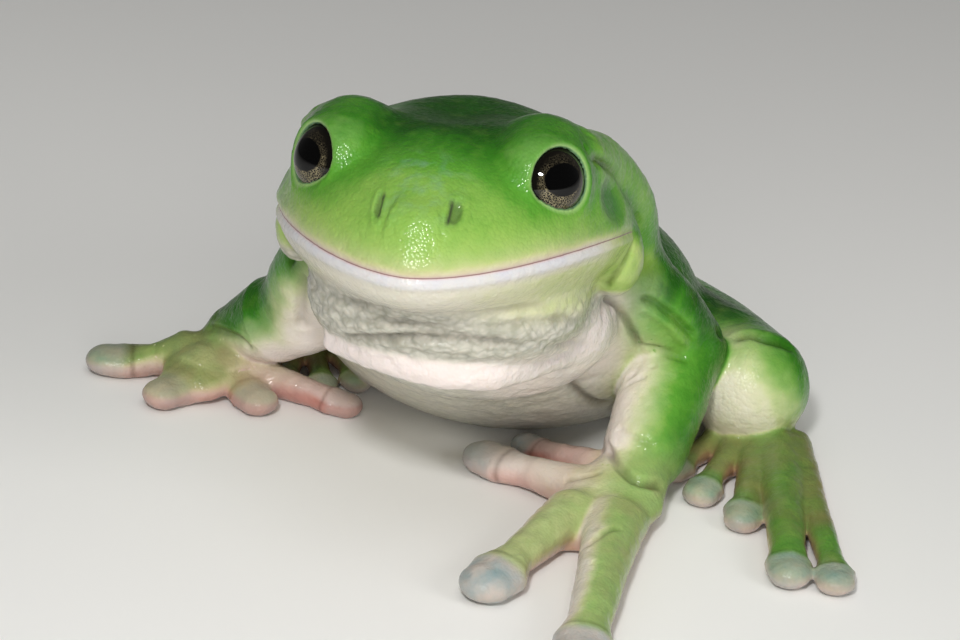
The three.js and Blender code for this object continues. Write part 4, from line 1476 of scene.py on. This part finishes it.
    def film(self, bench: Bench, shader: bpy.types.Node, pebble: bpy.types.NodeSocket) -> None:
        """Raises granules everywhere and pebbles on the throat, and wets the skin.

        Args:
            bench: what the nodes share.
            shader: the material's shader.
            pebble: the throat's pebbles.
        """
        tree, carried = bench.tree, bench.carried
        granule = add(
            tree, "ShaderNodeTexVoronoi", {"Vector": bench.mm, "Scale": 1 / self.granule_mm},
        ).outputs["Distance"]
        dome = add(tree, "ShaderNodeMath", {0: granule, 1: granule}, operation="MULTIPLY").outputs[0]
        fine = add(
            tree, "ShaderNodeMath", {0: dome, 1: -self.granule_height}, operation="MULTIPLY",
        ).outputs[0]
        coarse = add(
            tree, "ShaderNodeMath", {0: pebble, 1: carried[Region.GREY]}, operation="MULTIPLY",
        ).outputs[0]
        both = add(
            tree, "ShaderNodeMath", {0: coarse, 1: -self.pebble_height, 2: fine}, operation="MULTIPLY_ADD",
        ).outputs[0]
        bump = add(
            tree, "ShaderNodeBump",
            {"Height": both, "Distance": self.bump_mm * MM, "Strength": self.bump_strength},
        ).outputs[0]
        rough = add(
            tree, "ShaderNodeMapRange", {0: bench.noise[self.speck_mm], 1: 0.3, 2: 0.7, 3: 0.3, 4: 0.5},
        ).outputs[0]
        wet = add(
            tree, "ShaderNodeMapRange",
            {0: carried[Region.SHADE], 1: 0.45, 2: 0.8, 3: self.wet, 4: self.dry},
        ).outputs[0]
        for name, socket in (
            ("Normal", bump), ("Coat Normal", bump), ("Roughness", rough), ("Coat Weight", wet),
        ):
            tree.links.new(socket, shader.inputs[name])
        for name, value in (
            ("IOR", 1.4), ("Specular IOR Level", 0.2), ("Subsurface Weight", 0.15),
            ("Subsurface Radius", (1.0, 0.6, 0.35)), ("Subsurface Scale", 1.0 * MM),
            ("Coat Roughness", 0.11), ("Coat IOR", 1.33),
        ):
            shader.inputs[name].default_value = value


@dataclass(frozen=True)
class FrogEye(Finish):
    """A frog's eye behind its wet cornea: a black pupil in a near-black iris dusted with gold."""

    name: str = "frog_eye"
    pupil: str = "#020202"
    iris: str = "#0b0906"
    gold: str = "#9c9070"
    vein_mm: float = 0.21
    iris_edge: float = 3.1
    pupil_at: Numbers = (-0.5, 0.5)
    pupil_half: Numbers = (1.95, 1.6)
    dust_at: Numbers = (-1.4, -1.2)  # the gold is densest low and towards the snout
    dust_half: Numbers = (2.6, 2.6)
    edge_soft: float = 0.35

    def build(self) -> bpy.types.Material:
        """The material with its nodes."""
        material, tree, shader = self.begin()
        place = add(tree, "ShaderNodeAttribute", attribute_name="eye_place").outputs["Vector"]
        cells = add(
            tree, "ShaderNodeTexVoronoi", {"Vector": place, "Scale": 1 / self.vein_mm},
            feature="DISTANCE_TO_EDGE",
        ).outputs["Distance"]
        gold = add(tree, "ShaderNodeMapRange", {0: cells, 1: 0.12, 2: 0.04}).outputs[0]
        patch = add(tree, "ShaderNodeTexNoise", {"Vector": place, "Scale": 1.6, "Detail": 3.0}).outputs[0]
        flat = add(tree, "ShaderNodeVectorMath", {0: place, 1: (1, 1, 0)}, operation="MULTIPLY").outputs[0]
        reach = []
        for middle, half in ((self.pupil_at, self.pupil_half), (self.dust_at, self.dust_half)):
            offset = add(
                tree, "ShaderNodeVectorMath", {0: flat, 1: (*middle, 0)}, operation="SUBTRACT",
            ).outputs[0]
            scaled = add(
                tree, "ShaderNodeVectorMath", {0: offset, 1: (*half, 1)}, operation="DIVIDE",
            ).outputs[0]
            length = add(tree, "ShaderNodeVectorMath", {0: scaled}, operation="LENGTH")
            reach.append(length.outputs["Value"])
        inside = add(tree, "ShaderNodeMapRange", {0: reach[0], 1: 1.05, 2: 0.98}).outputs[0]
        span = add(tree, "ShaderNodeVectorMath", {0: flat}, operation="LENGTH").outputs["Value"]
        # the gold fades at the iris edge, away from the dust's middle, and in patches
        for value, start, end, least, most in (
            (span, self.iris_edge, self.iris_edge - self.edge_soft, 0.0, 1.0),
            (reach[1], 1.35, 0.3, 0.12, 1.0), (patch, 0.35, 0.65, 0.35, 1.0),
        ):
            part = add(
                tree, "ShaderNodeMapRange", {0: value, 1: start, 2: end, 3: least, 4: most},
            ).outputs[0]
            gold = add(tree, "ShaderNodeMath", {0: gold, 1: part}, operation="MULTIPLY").outputs[0]
        colour: bpy.types.NodeSocket | tuple[float, ...] = tone(self.iris)
        for share, code in ((gold, self.gold), (inside, self.pupil)):
            colour = add(
                tree, "ShaderNodeMix", {0: share, 6: colour, 7: tone(code)}, data_type="RGBA",
            ).outputs[2]
        tree.links.new(colour, shader.inputs["Base Color"])
        for name, value in (
            ("Roughness", 0.3), ("Specular IOR Level", 0.0), ("Coat Weight", 1.0), ("Coat Roughness", 0.01),
            ("Coat IOR", 1.376),
        ):
            shader.inputs[name].default_value = value
        return material


@dataclass(frozen=True)
class PaleFloor(Finish):
    """A plain pale matt board."""

    name: str = "pale_floor"
    colour: str = "#ebeae6"

    def build(self) -> bpy.types.Material:
        """The material with its nodes."""
        material, _, shader = self.begin()
        shader.inputs["Base Color"].default_value = tone(self.colour)
        shader.inputs["Roughness"].default_value = 0.85
        return material


# ---------------------------------------------------------------- pieces
def place_of_frog() -> Array:
    """Where the frog's own origin lies in the shared frame, in millimetres."""
    head = Head()
    found = []
    for side, eye in zip(("left", "right"), head.eyes):
        low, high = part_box(f"{side}_eye")
        middle = (np.array(low) + np.array(high)) / 2 / MM
        found.append(middle - head.pose.to_frog(eye.centre()))
    shift = np.mean(found, axis=0)
    shift[2] = 0
    return shift


def put(name: str, data: bpy.types.ID) -> bpy.types.Object:
    """A new object, linked to the scene."""
    piece = bpy.data.objects.new(name, data)
    bpy.context.scene.collection.objects.link(piece)
    return piece


def quad_piece(name: str, corners: Array, faces: Array, shift: Array) -> bpy.types.Object:
    """A smooth piece made of quads.

    Args:
        name: the piece's name.
        corners: places in the frog's frame, in millimetres.
        faces: quads as corner numbers.
        shift: where the frog's origin lies in the shared frame.

    Returns:
        The object, linked to the scene.
    """
    mesh = bpy.data.meshes.new(name)
    mesh.vertices.add(len(corners))
    mesh.vertices.foreach_set("co", ((corners + shift) * MM).astype(np.float32).ravel())
    mesh.loops.add(faces.size)
    mesh.loops.foreach_set("vertex_index", faces.astype(np.int32).ravel())
    mesh.polygons.add(len(faces))
    mesh.polygons.foreach_set("loop_start", np.arange(0, faces.size, 4, dtype=np.int32))
    mesh.update(calc_edges=True)
    mesh.validate()
    mesh.shade_smooth()
    return put(name, mesh)


@dataclass
class Hide:
    """The one skin that covers the whole frog but its eyes."""

    shift: Array
    body: Body = Body()
    spacing: float = 0.24
    quick_spacing: float = 0.5

    def build(self) -> bpy.types.Object:
        """Builds the skin, dresses it and puts it in place of the flesh."""
        spacing = self.spacing
        corners, quads, normal = Skinner(spacing).skin(self.body.distance)
        chart = SkinMap(self.body)
        masks = chart.masks(corners, normal)
        corners = corners + normal * chart.relief(corners)[:, None]
        corners[:, 2] = np.maximum(corners[:, 2], 0)
        piece = quad_piece("frog_skin", corners, quads, self.shift)
        for region, values in masks.items():
            layer = piece.data.attributes.new(region.value, "FLOAT", "POINT")
            layer.data.foreach_set("value", values.astype(np.float32))
        eyes = tuple(
            tuple((self.body.head.pose.to_frog(eye.centre()) + self.shift).tolist())
            for eye in self.body.head.eyes
        )
        piece.data.materials.append(FrogHide(eyes=eyes).build())
        flesh = [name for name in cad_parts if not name.endswith("_eye")]
        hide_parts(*flesh)
        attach(piece, "root")
        log.info("%s: %d corners, %d quads", piece.name, len(corners), len(quads))
        return piece


@dataclass
class Eyeball:
    """One eye: a globe whose cornea swells a little in front."""

    side: str
    seat: EyeSeat
    shift: Array
    pose: HeadPose = HeadPose()
    clearance: float = 0.04
    swell: float = 0.45
    cornea: float = 0.9  # half angle of the swell, in radians
    columns: int = 96
    rows: int = 64
    finish: FrogEye = FrogEye()

    def build(self) -> bpy.types.Object:
        """Builds the globe, dresses it and puts it in place of the plain eye."""
        gaze = self.seat.gaze() @ self.pose.axes()
        across = np.cross((0.0, 0.0, 1.0), gaze)
        across /= np.linalg.norm(across)
        above = np.cross(gaze, across)
        polar = np.linspace(0, math.pi, self.rows + 1)[1:-1]
        turn = np.linspace(0, 2 * math.pi, self.columns, endpoint=False)
        ring = np.stack([np.cos(turn), np.sin(turn)], 1)
        radius = self.seat.radius - self.clearance
        local = [(0.0, 0.0, radius + self.swell)]
        for angle in polar:
            r = radius + self.swell * float(ramp(np.array(angle), self.cornea, 0.0))
            for c, s in ring:
                local.append((r * math.sin(angle) * c, r * math.sin(angle) * s, r * math.cos(angle)))
        local.append((0.0, 0.0, -radius))
        places = np.array(local)
        centre = self.pose.to_frog(self.seat.centre())
        corners = centre + places @ np.stack([across, above, gaze])
        mesh = bpy.data.meshes.new(f"{self.side}_eyeball")
        last = len(places) - 1
        end = last - self.columns
        faces: list[tuple[int, ...]] = []
        for j in range(self.columns):
            k = (j + 1) % self.columns
            faces += [(0, 1 + j, 1 + k), (last, end + k, end + j)]
            for i in range(self.rows - 2):
                a, b = 1 + i * self.columns, 1 + (i + 1) * self.columns
                faces.append((a + j, b + j, b + k, a + k))
        mesh.from_pydata(((corners + self.shift) * MM).tolist(), [], faces)
        mesh.shade_smooth()
        layer = mesh.attributes.new("eye_place", "FLOAT_VECTOR", "POINT")
        layer.data.foreach_set("vector", (places * (self.seat.sign, 1, 1)).astype(np.float32).ravel())
        mesh.materials.append(self.finish.build())
        piece = put(f"{self.side}_eyeball", mesh)
        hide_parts(f"{self.side}_eye")
        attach(piece, "root")
        log.info("%s: %d corners", piece.name, len(corners))
        return piece


@dataclass
class Studio:
    """Pale floor, soft lights and the camera.

    The aim is in the frog's frame. Each light has a name, a place in the shared frame, a width in
    millimetres and a power in watts.
    """

    shift: Array
    aim: Numbers = (3.86, -3.67, 21.18)
    distance: float = 340.0
    azimuth: float = 8.0
    elevation: float = 24.0
    roll: float = 5.0
    lens: float = 123.8
    sensor: float = 36.0
    clip: float = 10.0
    lights: tuple[tuple[str, Numbers, float, float], ...] = (
        ("key_softbox", (-4, -332, 286), 52, 0.95),
        ("side_fill", (340, -190, 200), 200, 0.45),
        ("low_fill", (60, -400, 90), 240, 0.6),
        ("top_fill", (40, -180, 420), 260, 0.3),
        ("ceiling", (0, 60, 900), 1100, 1.2),
    )
    sky: float = 0.1
    sky_colour: str = "#e8e8e8"
    reach: float = 1500.0

    def aimed(self) -> Vector:
        """What camera and lights look at, in the shared frame."""
        return Vector(((np.array(self.aim) + self.shift) * MM).tolist())

    def floor(self) -> None:
        """A square of floor."""
        mesh = bpy.data.meshes.new("floor")
        reach = self.reach * MM
        corners = [(reach * x, reach * y, 0) for x, y in ((-1, -1), (1, -1), (1, 1), (-1, 1))]
        mesh.from_pydata(corners, [], [(0, 1, 2, 3)])
        mesh.materials.append(PaleFloor().build())
        piece = put("floor", mesh)

    def light(self) -> None:
        """Soft area lights and an even pale surround."""
        for name, at, size, power in self.lights:
            lamp = bpy.data.lights.new(name, "AREA")
            lamp.energy = power
            lamp.size = size * MM
            lamp.shape = "DISK"
            body = put(name, lamp)
            body.location = Vector(at) * MM
            body.rotation_euler = (body.location - self.aimed()).to_track_quat("Z", "Y").to_euler()
            body.visible_glossy = name == "key_softbox"  # one small reflection, as of a single lamp
        world = bpy.data.worlds.new("studio")
        world.use_nodes = True
        sky = world.node_tree.nodes["Background"]
        sky.inputs["Color"].default_value = tone(self.sky_colour)
        sky.inputs["Strength"].default_value = self.sky
        bpy.context.scene.world = world

    def camera(self) -> None:
        """The camera, low in front of the frog and turned a little on its axis."""
        azimuth, elevation, roll = (math.radians(v) for v in (self.azimuth, self.elevation, self.roll))
        flat = math.cos(elevation)
        back = Vector((math.sin(azimuth) * flat, -math.cos(azimuth) * flat, math.sin(elevation)))
        level = Vector((math.cos(azimuth), math.sin(azimuth), 0))
        upright = back.cross(level)
        right = level * math.cos(roll) + upright * math.sin(roll)
        up = upright * math.cos(roll) - level * math.sin(roll)
        lens = bpy.data.cameras.new("camera")
        lens.lens = self.lens
        lens.sensor_width = self.sensor
        lens.clip_start = self.clip * MM
        body = put("camera", lens)
        turn = Matrix((right, up, back)).transposed().to_4x4()
        body.matrix_world = Matrix.Translation(self.aimed() + back * self.distance * MM) @ turn
        bpy.context.scene.camera = body

    def build(self) -> None:
        """Sets the stage."""
        self.floor()
        self.light()
        self.camera()
        bpy.context.scene.view_settings.view_transform = "Standard"


def main() -> None:
    """Builds the frog and its stage."""
    logging.basicConfig(level=logging.INFO, format="%(name)s: %(message)s")
    shift = place_of_frog()
    log.info("frog's origin at %s mm", np.round(shift, 3))
    Studio(shift).build()
    Hide(shift).build()
    for side, seat in zip(("left", "right"), Head().eyes):
        Eyeball(side, seat, shift).build()


if __name__ == "__main__":
    main()
